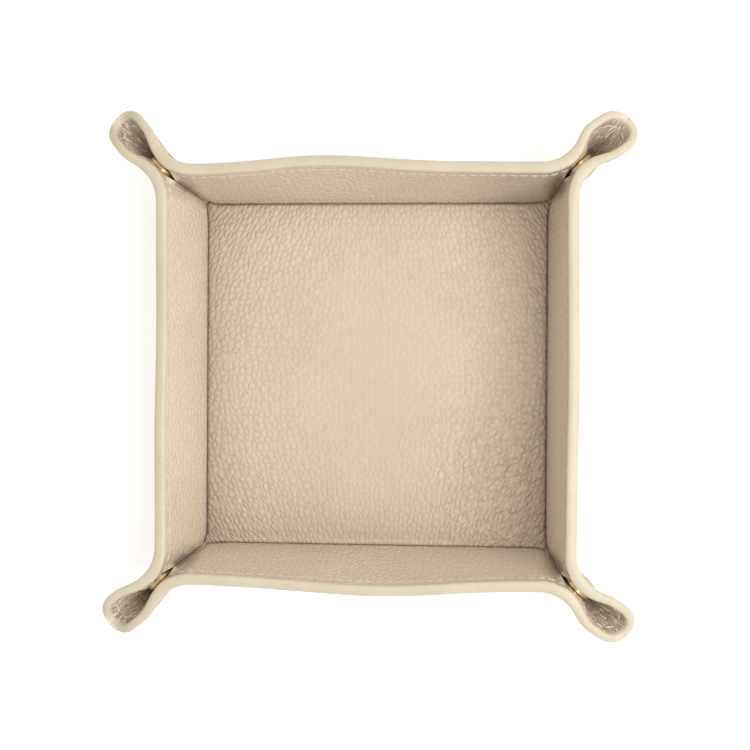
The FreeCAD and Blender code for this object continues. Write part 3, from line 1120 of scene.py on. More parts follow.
@dataclass
class BasePanel:
    """The padded floor of the tray and the leather under it. Sizes are in millimetres."""

    reach: float = 57.6
    corner: float = 1.7
    top: float = 4.35
    bottom: float = 3.05
    roll: float = 1.8
    crown: float = 0.35
    puff: float = 0.8
    slope: float = 9.0
    drawn_out: float = 1.3
    under_reach: float = 58.5
    under_corner: float = 1.8
    under_sheet: float = 700.0
    tongue: float = 2.4
    tongue_width: float = 2.6
    count: int = 150
    under_count: int = 48

    @staticmethod
    def square(reach: float, corner: float, share: Grid) -> Grid:
        """Points round a square with rounded corners.

        Args:
            reach: Half of the square's side.
            corner: Radius of its corners.
            share: Place round the square, 0 to 1.

        Returns:
            Array of x and y.
        """
        flat = reach - corner
        side = 2.0 * flat
        bend = corner * math.pi / 2.0
        quarter = np.floor(share * 4.0) % 4.0
        walk = (share * 4.0 - np.floor(share * 4.0)) * (side + bend)
        on_side = walk <= side
        turn = np.clip((walk - side) / bend, 0.0, 1.0) * math.pi / 2.0
        x = np.where(on_side, reach, flat + corner * np.cos(turn))
        y = np.where(on_side, walk - flat, flat + corner * np.sin(turn))
        angle = quarter * math.pi / 2.0
        cosine, sine = np.cos(angle), np.sin(angle)
        return np.stack([x * cosine - y * sine, x * sine + y * cosine], axis=-1)

    @staticmethod
    def corner_gap(plan: Grid, reach: float) -> Grid:
        """Distance to the nearest corner of a square."""
        return np.hypot(reach - np.abs(plan[..., 0]), reach - np.abs(plan[..., 1]))

    def painted_edge_shade(self, plan: Grid) -> Grid:
        """Painted shade: how much darker the leather is painted towards its left, front and back edges.

        Args:
            plan: Array of x and y.

        Returns:
            Darkness, 0 to 1.
        """
        x, y = plan[..., 0], plan[..., 1]
        # Painted shade near the left, front and back walls, strongest some way in from the front edge.
        left = 0.31 * np.exp(-(self.reach + x) / 6.0)
        ahead = self.reach + y
        front_painted_shade = 0.28 + 0.10 * np.exp(-(((x + 5.0) / 25.0) ** 2)) - 0.17 * smooth(x, 20.0, 50.0)
        front = front_painted_shade * np.exp(-ahead / 14.0) * smooth(ahead, 0.0, 4.0)
        return left + front + 0.17 * np.exp(-(self.reach - y) / 4.0)

    def grain_field(self, plan: Grid) -> dict[str, Grid]:
        """How deep the grain is, flattest near the middle, and where long grooves run across it.

        Args:
            plan: Array of x and y.

        Returns:
            Relief as a share of the usual depth, and the share of the long grooves.
        """
        right = plan[..., 0] / self.reach
        back = plan[..., 1] / self.reach
        sideways = np.where(right > 0.0, 1.6 * np.abs(right) ** 2.6, 0.95 * np.abs(right) ** 1.5)
        drawn = smooth(right, 0.1, 0.6) * smooth(-back, -0.1, 0.5)
        relief = np.clip(0.26 + sideways + 0.5 * back**2 + 0.5 * drawn, 0.0, 2.0)
        return {"relief": relief, "drawn": drawn}

    def flow(self, plan: Grid) -> Grid:
        """Sheet coordinates, bent so that rows of pebbles curve round the middle of the panel."""
        bend = np.exp(0.17 * ((plan[..., 1] / 45.0) ** 2 - 0.5))
        return np.stack([plan[..., 0] * bend / 0.9, plan[..., 1] / 1.12], axis=-1)

    def rings(self) -> tuple[Grid, Grid]:
        """Lay out the panel from its edge to its middle.

        Returns:
            Rings of x and y, and how far in each ring is.
        """
        around = np.linspace(0.0, 1.0, 4 * self.count, endpoint=False)
        rolled = self.roll * (1.0 - np.cos(np.linspace(0.0, 1.0, 12) * math.pi / 2.0))
        inner = np.linspace(self.roll, self.reach - 0.6, 64)[1:]
        inset = np.concatenate([np.zeros(1), rolled, inner])
        rings = []
        for step in inset:
            corner = max(self.corner - 0.55 * step, 0.35)
            rings.append(self.square(self.reach - step, min(corner, self.reach - step - 0.05), around))
        return np.stack(rings), inset[:, None]

    def lining(self, palette: Palette) -> Piece:
        """Build the puffed panel with its rolled edge and drawn corners.

        Args:
            palette: The tray's materials.

        Returns:
            The panel.
        """
        plan, depth = self.rings()
        x, y = plan[..., 0], plan[..., 1]
        rise = np.sqrt(np.clip(1.0 - (1.0 - np.clip(depth / self.roll, 0.0, 1.0)) ** 2, 0.0, 1.0))
        height = self.bottom + (self.top - self.bottom) * rise * np.ones_like(x)
        far = np.maximum(np.abs(x), np.abs(y)) / self.reach
        height = height + self.puff * (1.0 - np.clip(1.0 - depth / self.slope, 0.0, 1.0) ** 2)
        height = height + self.crown * (1.0 - far**2.2) * smooth(depth, 0.0, 14.0)
        height = height + 0.10 * wobble(x, y, 41.0, 7.0) * smooth(depth, 2.0, 16.0)
        corner_gap = self.corner_gap(plan, self.reach)
        near = np.exp(-((corner_gap / 4.2) ** 2))
        bearing = np.arctan2(self.reach + 2.0 - np.abs(y), self.reach + 2.0 - np.abs(x))
        quirk = np.sign(x) * 0.9 + np.sign(y) * 1.7
        ridges = np.sin(bearing * 11.0 + quirk) + 0.6 * np.sin(corner_gap * 2.6 + 3.0 * bearing + quirk)
        height = height + near * (0.45 * ridges + 1.0) * smooth(depth, 0.0, 0.8)
        pull = self.drawn_out * np.exp(-((corner_gap / self.tongue_width) ** 2))[..., None]
        plan = plan + pull * np.sign(plan) / ROOT_TWO
        height[0] = self.bottom - 0.5
        # Painted shade: dark in the crease at the rolled edge, less near the corners, plus the painted shade
        # towards the edges.
        painted_shade = 0.92 * fall(depth, 0.15, 1.0) + 0.20 * fall(depth, 0.5, 2.0)
        painted_shade = np.clip(painted_shade * (1.0 - 0.85 * near) + self.painted_edge_shade(plan), 0.0, 0.95)
        points = np.concatenate([plan, height[..., None]], axis=-1)
        shell = Shell()
        shell.patch(points, self.flow(plan), loop=True, caps=True, crease=painted_shade, **self.grain_field(plan))
        piece = shell.piece("base_panel", palette.base_lining, "lining_leather", "base_lining")
        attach(piece, "base")
        return piece

    def underside(self, palette: Palette) -> Piece:
        """Build the outer leather under the base, with a tongue at each corner.

        Args:
            palette: The tray's materials.

        Returns:
            The underside.
        """
        around = np.linspace(0.0, 1.0, 4 * self.under_count, endpoint=False)
        rolled = [(57.0, 1.25), (58.0, 1.0), (58.5, 0.45), (58.2, 0.1), (57.4, 0.0)]
        rings = []
        for reach, height in rolled + [(50.0, 0.0), (25.0, 0.0), (2.0, 0.0)]:
            ring = self.square(reach, min(self.under_corner, reach - 0.5), around)
            near = np.exp(-((self.corner_gap(ring, self.under_reach) / self.tongue_width) ** 2))
            ring = ring + (self.tongue * near)[:, None] * np.sign(ring) / ROOT_TWO
            rings.append(np.concatenate([ring, np.full((len(around), 1), height)], axis=-1))
        points = np.stack(rings)
        shell = Shell()
        shell.patch(points, points[..., :2] + self.under_sheet, loop=True, caps=True)
        piece = shell.piece("base_underside", palette.outer, "outer_leather", "base_outer")
        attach(piece, "base")
        return piece


@dataclass(kw_only=True)
class SheetPart(ABC):
    """What a wall and an ear half share: leathers, painted edge and thread. Sizes are in millimetres."""

    dome: float = 1.15
    lap: float = 0.55
    proud: float = 0.10
    tuck_in: float = 0.35
    roundness: float = 0.82
    stitching: Stitching = Stitching()
    run_from: ClassVar[float] = 1.0

    @property
    @abstractmethod
    def body(self) -> str:
        """Name of the body that the part is."""

    @property
    @abstractmethod
    def sheet_start(self) -> float:
        """Where the part's sheet coordinates begin, so that no two parts have the same grain."""

    @abstractmethod
    def lining(self, palette: Palette) -> Piece:
        """Build the lining leather."""

    @abstractmethod
    def outer(self, palette: Palette) -> Piece:
        """Build the outer leather."""

    @abstractmethod
    def edge(self, palette: Palette) -> Piece:
        """Build the painted edge along the rim."""

    @abstractmethod
    def stitches(self, palette: Palette, face: Face) -> Piece:
        """Sew the row of thread on one face."""

    def sheet(self, points: Grid) -> Grid:
        """Flat sheet coordinates of rows from foot to rim: run, counted from its share run_from, and rise."""
        run = travelled(points, 1)
        return np.stack([run - run[:, -1:] * self.run_from + self.sheet_start, travelled(points)], axis=-1)

    def leather(self, face: Face, material: Material, front: Grid, back: Grid, **layers: Numbers) -> Piece:
        """Build one leather of the part as a closed slab.

        Args:
            face: Which face of the part.
            material: Its finish.
            front: The face that shows.
            back: The face inside the sheet.
            **layers: What the finish reads at each point, as for a patch of the shell.

        Returns:
            The leather.
        """
        shell = Shell()
        shell.slab(front, back, self.sheet(front) + np.array([0.0, face.rise]), **layers)
        node = f"{self.body}_{face.layer}"
        return shell.piece(f"{self.body}_{face.label}", material, f"{face.layer}_leather", node)

    def painted(self, palette: Palette, inside: Grid, outside: Grid, way: Grid) -> Piece:
        """Build the domed coat along a rim.

        Args:
            palette: The tray's materials.
            inside: Points where the rim meets the inside face.
            outside: Points where the rim meets the outside face.
            way: Outward way of the rim at each point.

        Returns:
            The coat.
        """
        middle = (inside + outside) / 2.0
        half = (inside - outside) / 2.0
        wide = 1.0 + self.proud / np.linalg.norm(half, axis=1)
        down = way * self.lap
        rows = [inside - half * self.tuck_in - down, middle + half * wide[:, None] - down]
        for turn in np.linspace(0.0, math.pi, 13):
            across = math.copysign(abs(math.cos(turn)) ** self.roundness, math.cos(turn))
            rise = self.dome * math.sin(turn) ** self.roundness
            rows.append(middle + half * (wide * across)[:, None] + way * rise)
        rows += [middle - half * wide[:, None] - down, outside + half * self.tuck_in - down]
        points = np.stack(rows, axis=1)
        around = travelled(points[len(points) // 2])
        sheet = np.stack(np.broadcast_arrays(travelled(middle)[:, None], around[None, :]), axis=-1)
        shell = Shell()
        shell.patch(points, sheet + self.sheet_start, loop=True, caps=True)
        return shell.piece(f"{self.body}_paint", palette.paint, "edge_paint", f"{self.body}_edge")

    def sewn(self, palette: Palette, face: Face, rows: Grid, outward: Grid) -> Piece:
        """Sew thread along the middle one of three rows of points.

        Args:
            palette: The tray's materials.
            face: Which face of the part.
            rows: Rows of points on that face.
            outward: A way that roughly leads out of the tray there.

        Returns:
            The row of stitches.
        """
        shell = Shell()
        self.stitching.sew(shell, rows[1], grid_normals(rows, outward * face.way)[1])
        return shell.piece(f"{self.body}_stitches_{face.label}", palette.thread, "edge_paint")

    def build(self, palette: Palette) -> list[Piece]:
        """Build every piece of the part."""
        pieces = [self.lining(palette), self.outer(palette), self.edge(palette)]
        return pieces + [self.stitches(palette, face) for face in Face]


@dataclass
class TrayWall(SheetPart):
    """One wall. Sizes are in millimetres."""

    side: Side
    lining_foot: float = 2.5
    lining_back: float = 1.25
    outer_foot: float = 0.12
    groove: float = 0.14
    sheet_step: float = 300.0
    lining_fold: tuple[Spot, Spot] = ((57.3, 0.0, 3.3), (58.4, 0.0, 7.0))
    outer_fold: tuple[Spot, Spot] = ((58.0, 0.0, 0.3), (61.6, 0.0, 4.6))
    run_from: ClassVar[float] = 0.5

    @property
    def body(self) -> str:
        """Name of the body that the wall is."""
        return f"{self.side.label}_wall"

    @property
    def bow(self) -> Bow:
        """How this wall swells and waves."""
        return BOWS[self.side]

    @property
    def sheet_start(self) -> float:
        """Where the wall's sheet coordinates begin."""
        return self.sheet_step * self.bow.seed

    def surface(self, share: Grid, height: Grid, depth: Grid) -> Grid:
        """Points of this wall, in the frame of the part."""
        return turned(SHAPE.wall_point(share, height, depth, self.bow), self.side.place())

    def columns(self, count: int) -> Grid:
        """Places along the wall, closer together in the bends.

        Args:
            count: How many places the straight part has.

        Returns:
            Places from -1 to 1.
        """
        bend = np.linspace(SHAPE.straight, 1.0, 9)
        middle = np.linspace(-SHAPE.straight, SHAPE.straight, count)
        return np.concatenate([-bend[::-1][:-1], middle, bend[1:]])

    def folded(self, piece: Piece, start: Spot, end: Spot) -> Piece:
        """Bake a piece's placement into its mesh.

        Args:
            piece: A leather of the wall.
            start: Where it leaves the base, in the right wall's frame.
            end: Where it belongs to the wall alone, in the same frame.

        Returns:
            The same piece.
        """
        spots = [turned(np.array(spot), self.side.place()) * MM for spot in (start, end)]
        self.body
        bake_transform(piece)
        return piece

    def lining(self, palette: Palette) -> Piece:
        """Build the lining leather, tucked under the base panel at its foot.

        Args:
            palette: The tray's materials.

        Returns:
            The lining.
        """
        share = self.columns(97)[None, :]
        top = SHAPE.rim_height(share[0], 0.0, self.bow)
        height = lifted(self.lining_foot, top, 46, 0.75)
        ends = smooth(np.abs(share), 0.90, 1.0)
        tuck = np.clip((4.2 - height) / 0.55, 0.0, 1.0) ** 2 * (0.9 - 0.5 * ends)
        first, second = (CORNERS[frozenset((self.side.label, end))] for end in self.side.ends)
        seed = np.where(share > 0.0, first.seed, second.seed)
        ridge = SHAPE.pucker(SHAPE.wall_angle(share), height, seed)
        below = (top[None, :] - height) / math.cos(SHAPE.lean)
        groove = self.groove * np.exp(-(((below - self.stitching.below_rim) / 0.55) ** 2))
        front = self.surface(share, height, groove - tuck - ridge)
        back = self.surface(share, height, np.full_like(height, self.lining_back))
        # Painted shade: a dark line along the fold, darker towards the foot and the ends, painted shadows at
        # the ends and in the slots, and darker walls that face away from the lamp.
        painted_shade = 0.93 * fall(height, 3.5, 4.4) + 0.10 * fall(height, 3.1, 12.0) * ends
        painted_shade = painted_shade + 0.09 * fall(height, 4.0, 27.0)
        for end, corner, sign in zip(self.side.ends, (first, second), (1.0, -1.0)):
            end_painted_shadow = END_PAINTED_SHADOW.get((self.side.label, end), 0.0)
            painted_shade = painted_shade + end_painted_shadow * smooth(sign * share, 0.35, 0.95)
            painted_shade = painted_shade + corner.slot_painted_shade * smooth(sign * share, 0.91, 1.0) * smooth(height, 6.0, 16.0)
        painted_shade = painted_shade + WALL_PAINTED_SHADE.get(self.side.label, 0.0)
        painted_shade = np.clip(painted_shade, 0.0, 0.95)
        fold = ends * fall(height, 14.0, 26.0) * 0.6
        piece = self.leather(Face.INSIDE, palette.wall_lining, front, back, crease=painted_shade, fold=fold)
        return self.folded(piece, *self.lining_fold)

    def outer(self, palette: Palette) -> Piece:
        """Build the outer leather, rounded under the fold at its foot.

        Args:
            palette: The tray's materials.

        Returns:
            The outer leather.
        """
        share = self.columns(65)[None, :]
        height = lifted(self.outer_foot, SHAPE.rim_height(share[0], SHAPE.thickness, self.bow), 34, 0.8)
        face = SHAPE.thickness - SHAPE.foot_round(height)
        front = self.surface(share, height, face)
        behind = np.minimum(SHAPE.thickness - SHAPE.skin, face - 0.3)
        back = self.surface(share, np.maximum(height, 0.9), behind)
        return self.folded(self.leather(Face.OUTSIDE, palette.outer, front, back), *self.outer_fold)

    def edge(self, palette: Palette) -> Piece:
        """Build the painted edge along the rim.

        Args:
            palette: The tray's materials.

        Returns:
            The edge.
        """
        share = self.columns(121)
        rims = []
        for depth in (0.0, SHAPE.thickness):
            height = SHAPE.rim_height(share, depth, self.bow)
            rims.append(self.surface(share, height, np.full_like(share, depth)))
        out = SHAPE.squareness(share) * math.sin(SHAPE.lean)
        way = unit(np.stack([out, np.zeros_like(share), np.ones_like(share)], axis=-1))
        piece = self.painted(palette, rims[0], rims[1], turned(way, self.side.place()))
        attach(piece, self.body)
        return piece

    def stitches(self, palette: Palette, face: Face) -> Piece:
        """Sew the row of thread on one face.

        Args:
            palette: The tray's materials.
            face: Which face of the wall.

        Returns:
            The row of stitches.
        """
        share = self.columns(241)
        inside = face is Face.INSIDE
        rim = SHAPE.rim_height(share, 0.0 if inside else SHAPE.thickness, self.bow)
        deep = np.full_like(share, self.groove if inside else SHAPE.thickness)
        height = rim - self.stitching.below_rim * math.cos(SHAPE.lean)
        rows = np.stack([self.surface(share, height + lift, deep) for lift in (-0.4, 0.0, 0.4)])
        piece = self.sewn(palette, face, rows, turned(np.array([1.0, 0.0, -0.2]), self.side.place()))
        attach(piece, self.body)
        return piece


@dataclass
class EarHalf(SheetPart):
    """One half of a pinched corner. Sizes are in millimetres."""

    wall: str
    end: str
    seed: float
    lining_foot: float = 2.5
    lining_back: float = 1.5
    outer_foot: float = 0.3
    outer_back: float = 1.6
    draw_in: float = 0.7
    cap_radius: float = 5.9
    post_radius: float = 5.0
    seat_depth: float = 2.35
    thin: float = 0.5
    bead: float = 0.5
    sheet_step: float = 40.0
    bend_before: float = 0.2
    bend_length: float = 5.5
    mouth: float = math.radians(20.0)

    @property
    def corner(self) -> Corner:
        """The corner that this half belongs to."""
        return CORNERS[frozenset((self.wall, self.end))]

    @property
    def shape(self) -> TrayShape:
        """The sheet's shape with this corner's own crease."""
        return self.corner.shape

    @property
    def body(self) -> str:
        """Name of the body that the ear half is."""
        return f"{self.wall}_{self.end}_ear"

    @property
    def sheet_start(self) -> float:
        """Where the ear half's sheet coordinates begin."""
        return self.sheet_step * self.seed

    @property
    def sideways(self) -> bool:
        """Whether the half belongs to the left or right wall, which is the one with the stud's cap."""
        return self.wall in ("left", "right")

    def to_part(self, points: Grid) -> Grid:
        """Carry points from along, across and up to the frame of the part.

        Args:
            points: Points or ways along and across the diagonal, and up.

        Returns:
            The same in x, y and z.
        """
        labels = (self.wall, self.end)
        place = np.diag([-1.0 if "left" in labels else 1.0, -1.0 if "front" in labels else 1.0])
        if not self.sideways:
            place = place @ np.array([[0.0, 1.0], [1.0, 0.0]])
        x = (points[..., 0] + points[..., 1]) / ROOT_TWO
        y = (points[..., 0] - points[..., 1]) / ROOT_TWO
        return turned(np.stack([x, y, points[..., 2]], axis=-1), place)

    def placed(self, points: Grid) -> Grid:
        """Sway the ear's end to one side, then carry its points to the frame of the part.

        Args:
            points: Distances along and across the diagonal, and height.

        Returns:
            Points in x, y and z.
        """
        along, across, height = (points[..., axis] for axis in range(3))
        toward = self.shape.sway if self.sideways else -self.shape.sway
        shift = toward * smooth(along - self.shape.corner_reach, 19.5, 31.0) * smooth(height, 10.0, 26.0)
        return self.to_part(np.stack([along, across + shift, height], axis=-1))

    def surface(self, share: Grid, height: Grid, depth: Grid) -> Grid:
        """Points of this ear half, in the frame of the part."""
        return self.placed(self.shape.ear_point(share, height, depth))

    def drawn(self, share: Grid, below: Numbers) -> Grid:
        """How far the outer leather is drawn in at a distance below the rim."""
        return self.draw_in * smooth(below, 0.3, 3.0) * smooth(share, 0.0, 0.25)

    def thinned(self, share: Grid, below: Numbers) -> Grid:
        """How far the inside face gives way towards the rim."""
        return self.thin * smooth(share, 0.1, 0.5) * fall(below, 0.0, 5.0)

    def gathered(self, points: Grid, share: Grid, height: Grid) -> Grid:
        """Roll the lining into a small bead at the mouth of the slot, from the base up to the press stud.

        Args:
            points: Distances along and across the diagonal, and height.
            share: Place from the hinge at 0 to the crease at 1.
            height: Height above the table.

        Returns:
            The points with the bead.
        """
        share, height = np.broadcast_arrays(share, height)
        walk = np.clip(1.0 - self.shape.ear_angle(share) / self.mouth, 0.0, 1.0)
        turn = np.clip(walk / 0.6, 0.0, 1.0) * math.pi / 2.0
        inward = np.clip((walk - 0.6) / 0.4, 0.0, 1.0)
        mouth = np.full_like(height, self.mouth)
        along, across = self.shape.pinch_point(height, np.zeros_like(height), mouth)
        knots = 1.0 + 0.35 * np.sin(1.9 * height + self.corner.seed) + np.exp(-(((height - 5.2) / 1.4) ** 2))
        knots = knots * (1.0 - 0.85 * smooth(height, 12.0, 20.0))
        rolled_along = along - self.bead * knots * np.sin(turn)
        rolled_across = 0.06 + (across - 0.06) * np.cos(turn)
        rolled = np.stack([rolled_along, rolled_across, height], axis=-1)
        rolled = rolled + inward[..., None] * (points - rolled)
        weight = smooth(height, 3.4, 4.6) * fall(height, 29.0, 32.2) * smooth(walk, 0.0, 0.06)
        return points + weight[..., None] * (rolled - points)

    def bent(self, piece: Piece) -> Piece:
        """Bake a piece's placement into its mesh.

        Args:
            piece: Any piece of the ear half.

        Returns:
            The same piece.
        """
        spots = ((0.0, 4.0), (0.0, 35.0), (0.0, 20.0), (0.3, 20.0))
        low, high, near, far = (
            self.surface(np.array(share), np.array(height), np.array(0.0)) for share, height in spots
        )
        axis = unit(high - low)
        way = far - near
        way = unit(way - axis * np.dot(way, axis))
        self.body
        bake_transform(piece)
        return piece

    def painted_shade_map(self, share: Grid, height: Grid, below: Grid, wrinkled: Grid) -> Grid:
        """Painted shade on the lining: darker in its wrinkles, deep under the rim, in the slot's mouth, along
        the crease and beside the wall.

        Args:
            share: Place from the hinge at 0 to the crease at 1.
            height: Height above the table.
            below: Distance below the rim.
            wrinkled: Share of the gathers' valleys.

        Returns:
            Darkness, 0 to 1.
        """
        # Painted shade deep inside the ear, in the wrinkles' valleys and in the slot, with the walls' painted
        # shade carried onto the ear.
        deep = smooth(below, 3.0, 16.0) * smooth(height, 8.0, 16.0)
        painted_shade = 0.16 * deep + (0.34 + 0.20 * deep) * wrinkled
        mouth = fall(share, 0.14, 0.24)
        painted_shade = painted_shade + self.corner.slot_painted_shade * mouth * smooth(height, 6.0, 16.0)
        slit = smooth(share, 0.04, 0.11) * mouth * smooth(height, 4.6, 8.0) * fall(height, 27.0, 30.0)
        tone = WALL_PAINTED_SHADE.get(self.wall, 0.0) + END_PAINTED_SHADOW.get((self.wall, self.end), 0.0)
        tone = tone + 0.10 * fall(height, 3.1, 12.0) + 0.09 * fall(height, 4.0, 27.0)
        painted_shade = painted_shade + 0.5 * slit + tone * fall(share, 0.05, 0.45)
        return np.clip(np.maximum(painted_shade, 0.75 * (share > 0.999)), 0.0, 0.8)

    def lining(self, palette: Palette) -> Piece:
        """Build the lining leather, gathered along the crease.

        Args:
            palette: The tray's materials.

        Returns:
            The lining.
        """
        share = stations((0.0, 0.20, 34), (0.20, 0.50, 16), (0.50, 1.0, 120))[None, :]
        top = self.shape.ear_rim(share[0], 0.0, 0.0)
        height = lifted(self.lining_foot, top, 56, 0.45)
        below = top[None, :] - height
        tuck = np.clip((4.1 - height) / 1.6, 0.0, 1.0) ** 2 * 0.3
        fold = smooth(share, 0.52, 0.78) * smooth(height, 9.0, 20.0) * smooth(below, 0.0, 1.2)
        sway = 0.022 * np.sin(height * 0.45 + self.seed) + 0.012 * np.sin(height * 0.97 + 2.0 * self.seed)
        lines = np.sin((share + sway) * 104.0 + self.seed * 1.9)
        lines = (lines + 0.7 * np.sin((share - 0.7 * sway) * 163.0 + self.seed)) / 1.7
        pucker = 0.17 * lines * fold * fall(share, 0.975, 1.0)
        ridge = self.shape.pucker(self.shape.ear_angle(share), height, self.corner.seed)
        ridge = ridge * fall(share, 0.03, 0.06) - self.thinned(share, below)
        points = self.shape.ear_point(share, height, pucker - tuck - ridge)
        front = self.placed(self.gathered(points, share, height))
        back = self.surface(share, height, np.full_like(height, self.lining_back))
        painted_shade = self.painted_shade_map(share, height, below, smooth(lines, 0.1, 0.9) * fold)
        return self.bent(self.leather(Face.INSIDE, palette.ear_lining, front, back, crease=painted_shade, fold=fold))

    def outer(self, palette: Palette) -> Piece:
        """Build the outer leather, drawn in under the rim and pressed flat round the stud.

        Args:
            palette: The tray's materials.

        Returns:
            The outer leather.
        """
        shape = self.shape
        share = stations((0.0, 0.70, 56), (0.70, 1.0, 22))[None, :]
        top = shape.ear_rim(share[0], shape.thickness, 0.0)
        height = lifted(self.outer_foot, top, 64, 0.3)
        below = top[None, :] - height
        swell = 0.12 * wobble(share * 26.0, height, 11.0, self.seed) * smooth(share, 0.5, 0.7)
        swell = swell * fall(share, 0.9, 1.0) * smooth(below, 0.8, 4.0)
        face = shape.thickness - shape.foot_round(height) - self.drawn(share, below) + swell
        from_stud = shape.ear_point(share, height, face)[..., 0] - shape.corner_reach - shape.stud_from_corner
        from_stud = np.hypot(from_stud, height - shape.stud_height)
        press = self.cap_radius if self.sideways else self.post_radius
        seat = fall(from_stud, press + 0.05, press + 1.2)
        face = face - np.clip(face - self.seat_depth, 0.0, None) * seat
        front = self.surface(share, height, face)
        back = self.surface(share, height, np.minimum(shape.thickness - self.outer_back, face - 0.3))
        # Painted shade along the crease.
        painted_shade = 0.5 * (share > 0.999)
        return self.bent(self.leather(Face.OUTSIDE, palette.outer, front, back, crease=painted_shade))

    def edge(self, palette: Palette) -> Piece:
        """Build the painted edge along the ear's rim.

        Args:
            palette: The tray's materials.

        Returns:
            The edge.
        """
        share = stations((0.0, 0.70, 34), (0.70, 1.0, 26))
        rims = []
        way = np.zeros((len(share), 3))
        for depth in (self.thinned(share, 0.0), np.full_like(share, self.shape.thickness)):
            height = self.shape.ear_rim(share, depth, 0.0)
            local = self.shape.ear_point(share, height, depth)
            rims.append(self.placed(local))
            _, along, up = self.shape.outline(local[:, 0], height)
            way += np.stack([along, np.zeros_like(along), up], axis=-1)
        way[:, 0] *= smooth(share, 0.0, 0.2)
        return self.bent(self.painted(palette, rims[0], rims[1], self.to_part(unit(way))))

    def stitches(self, palette: Palette, face: Face) -> Piece:
        """Sew the row of thread on one face.

        Args:
            palette: The tray's materials.
            face: Which face of the ear.

        Returns:
            The row of stitches.
        """
        share = np.linspace(0.0, 0.97, 140)
        inset = self.stitching.below_rim
        depth = self.thinned(share, inset)
        if face is Face.OUTSIDE:
            depth = self.shape.thickness - self.drawn(share, inset)
        rows = []
        for lift in (0.4, 0.0, -0.4):
            height = self.shape.ear_rim(share, depth, inset + lift)
            rows.append(self.surface(share, height, depth))
        outward = self.to_part(np.array([0.0, 1.0, 0.0]))
        return self.bent(self.sewn(palette, face, np.stack(rows), outward))


@dataclass(frozen=True)
class HiddenLayers:
    """Pieces that keep their solid shape and take a finish."""

    def dress(self, palette: Palette) -> list[Piece]:
        """Give each solid its material.

        Args:
            palette: The tray's materials.

        Returns:
            The dressed solids.
        """
        finishes = {
            "socket": palette.brass,
            "stud": palette.brass,
            "cap": palette.shade_painted_brass,
            "post": palette.shade_painted_brass,
            "stiffener": palette.board,
            "board": palette.board,
            "pad": palette.felt,
        }
        dressed = []
        for name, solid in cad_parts.items():
            material = finishes.get(name.split("_")[-1])
            if material:
                solid.data.materials.clear()
                solid.data.materials.append(material)
                dressed.append(solid)
        return dressed


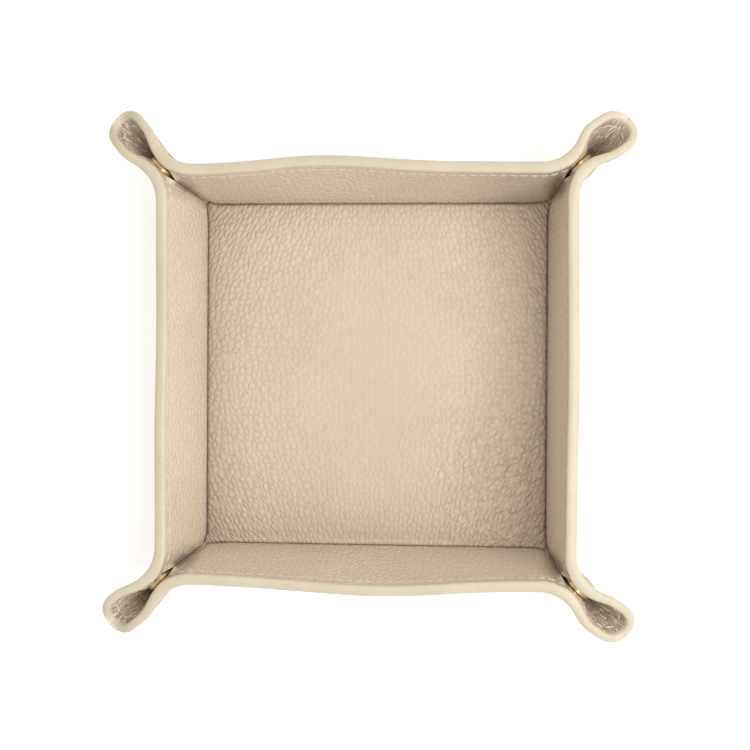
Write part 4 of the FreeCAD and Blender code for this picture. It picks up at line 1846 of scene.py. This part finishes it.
@dataclass(frozen=True)
class Studio:
    """Camera, floor and soft light. Sizes are in millimetres."""

    camera_at: Spot = (71.59, 9.72, 624.26)
    look_at: Spot = (-0.55, -0.24, 0.0)
    roll: float = -0.006
    view_angle: float = math.radians(22.75)
    fill: Colour = (1.0, 0.985, 0.95, 1.0)
    fill_strength: float = 0.60
    lamp_at: Spot = (530.0, -60.0, 830.0)
    lamp_size: float = 640.0
    lamp_watts: float = 5.75
    lamp_colour: Spot = (0.985, 0.99, 1.0)
    floor_reach: float = 3000.0
    floor_glow: float = 0.44
    floor_below: float = 0.3

    def camera(self) -> None:
        """Set the camera where the photograph was taken from."""
        lens = bpy.data.cameras.new("camera")
        lens.sensor_fit = "HORIZONTAL"
        lens.angle = self.view_angle
        lens.clip_start = 0.01
        camera = linked("camera", lens)
        eye = Vector(self.camera_at) * MM
        back = (eye - Vector(self.look_at) * MM).normalized()
        right = Vector((math.sin(self.roll), math.cos(self.roll), 0.0)).cross(back).normalized()
        turn = Matrix((right, back.cross(right), back)).transposed()
        camera.matrix_world = Matrix.Translation(eye) @ turn.to_4x4()
        bpy.context.scene.camera = camera

    def lamp(self) -> None:
        """Hang a soft square lamp that faces the tray."""
        light = bpy.data.lights.new("key", "AREA")
        light.shape = "SQUARE"
        light.size = self.lamp_size * MM
        light.energy = self.lamp_watts
        light.color = self.lamp_colour
        lamp = linked("key", light)
        lamp.location = Vector(self.lamp_at) * MM
        lamp.rotation_euler = Vector(self.lamp_at).to_track_quat("Z", "Y").to_euler()

    def floor(self) -> None:
        """Lay the pale floor, which keeps the tray's shadow."""
        material, sketch, shader = new_material("Pale floor")
        place = sketch.add("ShaderNodeTexCoord").outputs["Object"]
        paper = sketch.noise("3D", Vector=place, Scale=900.0, Detail=2.0)
        fleck = sketch.times(paper.outputs["Fac"], 0.04)
        sketch.feed(shader, Base_Color=sketch.mix(fleck, srgb(250, 250, 250), srgb(238, 238, 238)))
        sketch.feed(shader, Roughness=0.9, Specular_IOR_Level=0.0)
        path = sketch.add("ShaderNodeLightPath")
        seen = sketch.math("MAXIMUM", path.outputs["Is Camera Ray"], path.outputs["Is Glossy Ray"])
        seen = sketch.math("MAXIMUM", seen, path.outputs["Is Transmission Ray"])
        glow = sketch.add("ShaderNodeEmission")
        sketch.feed(glow, Color=WHITE, Strength=sketch.times(seen, self.floor_glow))
        both = sketch.feed(sketch.add("ShaderNodeAddShader"), i0=shader.outputs[0], i1=glow.outputs[0])
        sketch.feed(material.node_tree.nodes["Material Output"], Surface=both.outputs[0])
        mesh = bpy.data.meshes.new("floor")
        reach = self.floor_reach * MM
        corners = [(-reach, -reach, 0.0), (reach, -reach, 0.0), (reach, reach, 0.0), (-reach, reach, 0.0)]
        mesh.from_pydata(corners, [], [(0, 1, 2, 3)])
        mesh.materials.append(material)
        floor = linked("floor", mesh)
        floor.location.z = -self.floor_below * MM

    def sky(self) -> None:
        """Fill the shadows with an even pale light."""
        world = bpy.data.worlds.new("Studio")
        world.use_nodes = True
        bpy.context.scene.world = world
        sketch = Sketch(world.node_tree)
        path = sketch.add("ShaderNodeLightPath")
        seen = sketch.math("MAXIMUM", path.outputs["Is Camera Ray"], path.outputs["Is Transmission Ray"])
        strength = sketch.math("MULTIPLY_ADD", seen, 1.0 - self.fill_strength, self.fill_strength)
        colour = sketch.mix(seen, self.fill, WHITE)
        sketch.feed(world.node_tree.nodes["Background"], Color=colour, Strength=strength)

    def build(self) -> None:
        """Set up the view transform, camera, floor and light."""
        bpy.context.scene.view_settings.view_transform = "Standard"
        self.camera()
        self.floor()
        self.sky()
        self.lamp()


def report(pieces: list[Piece]) -> None:
    """Log each piece with its size."""
    for piece in pieces:
        LOG.info("%s: %d points", piece.name, len(piece.data.vertices))


def main() -> None:
    """Build the tray's pieces in order, then the studio."""
    logging.basicConfig(level=logging.INFO, format="%(name)s %(message)s")
    palette = Palette()
    panel = BasePanel()
    report([panel.lining(palette), panel.underside(palette)])
    for side in Side:
        report(TrayWall(side).build(palette))
    for number, side in enumerate(Side):
        for place, end in enumerate(side.ends):
            report(EarHalf(side.label, end, 2.0 * number + place + 1.0).build(palette))
    report(HiddenLayers().dress(palette))
    Studio().build()


if __name__ == "__main__":
    main()
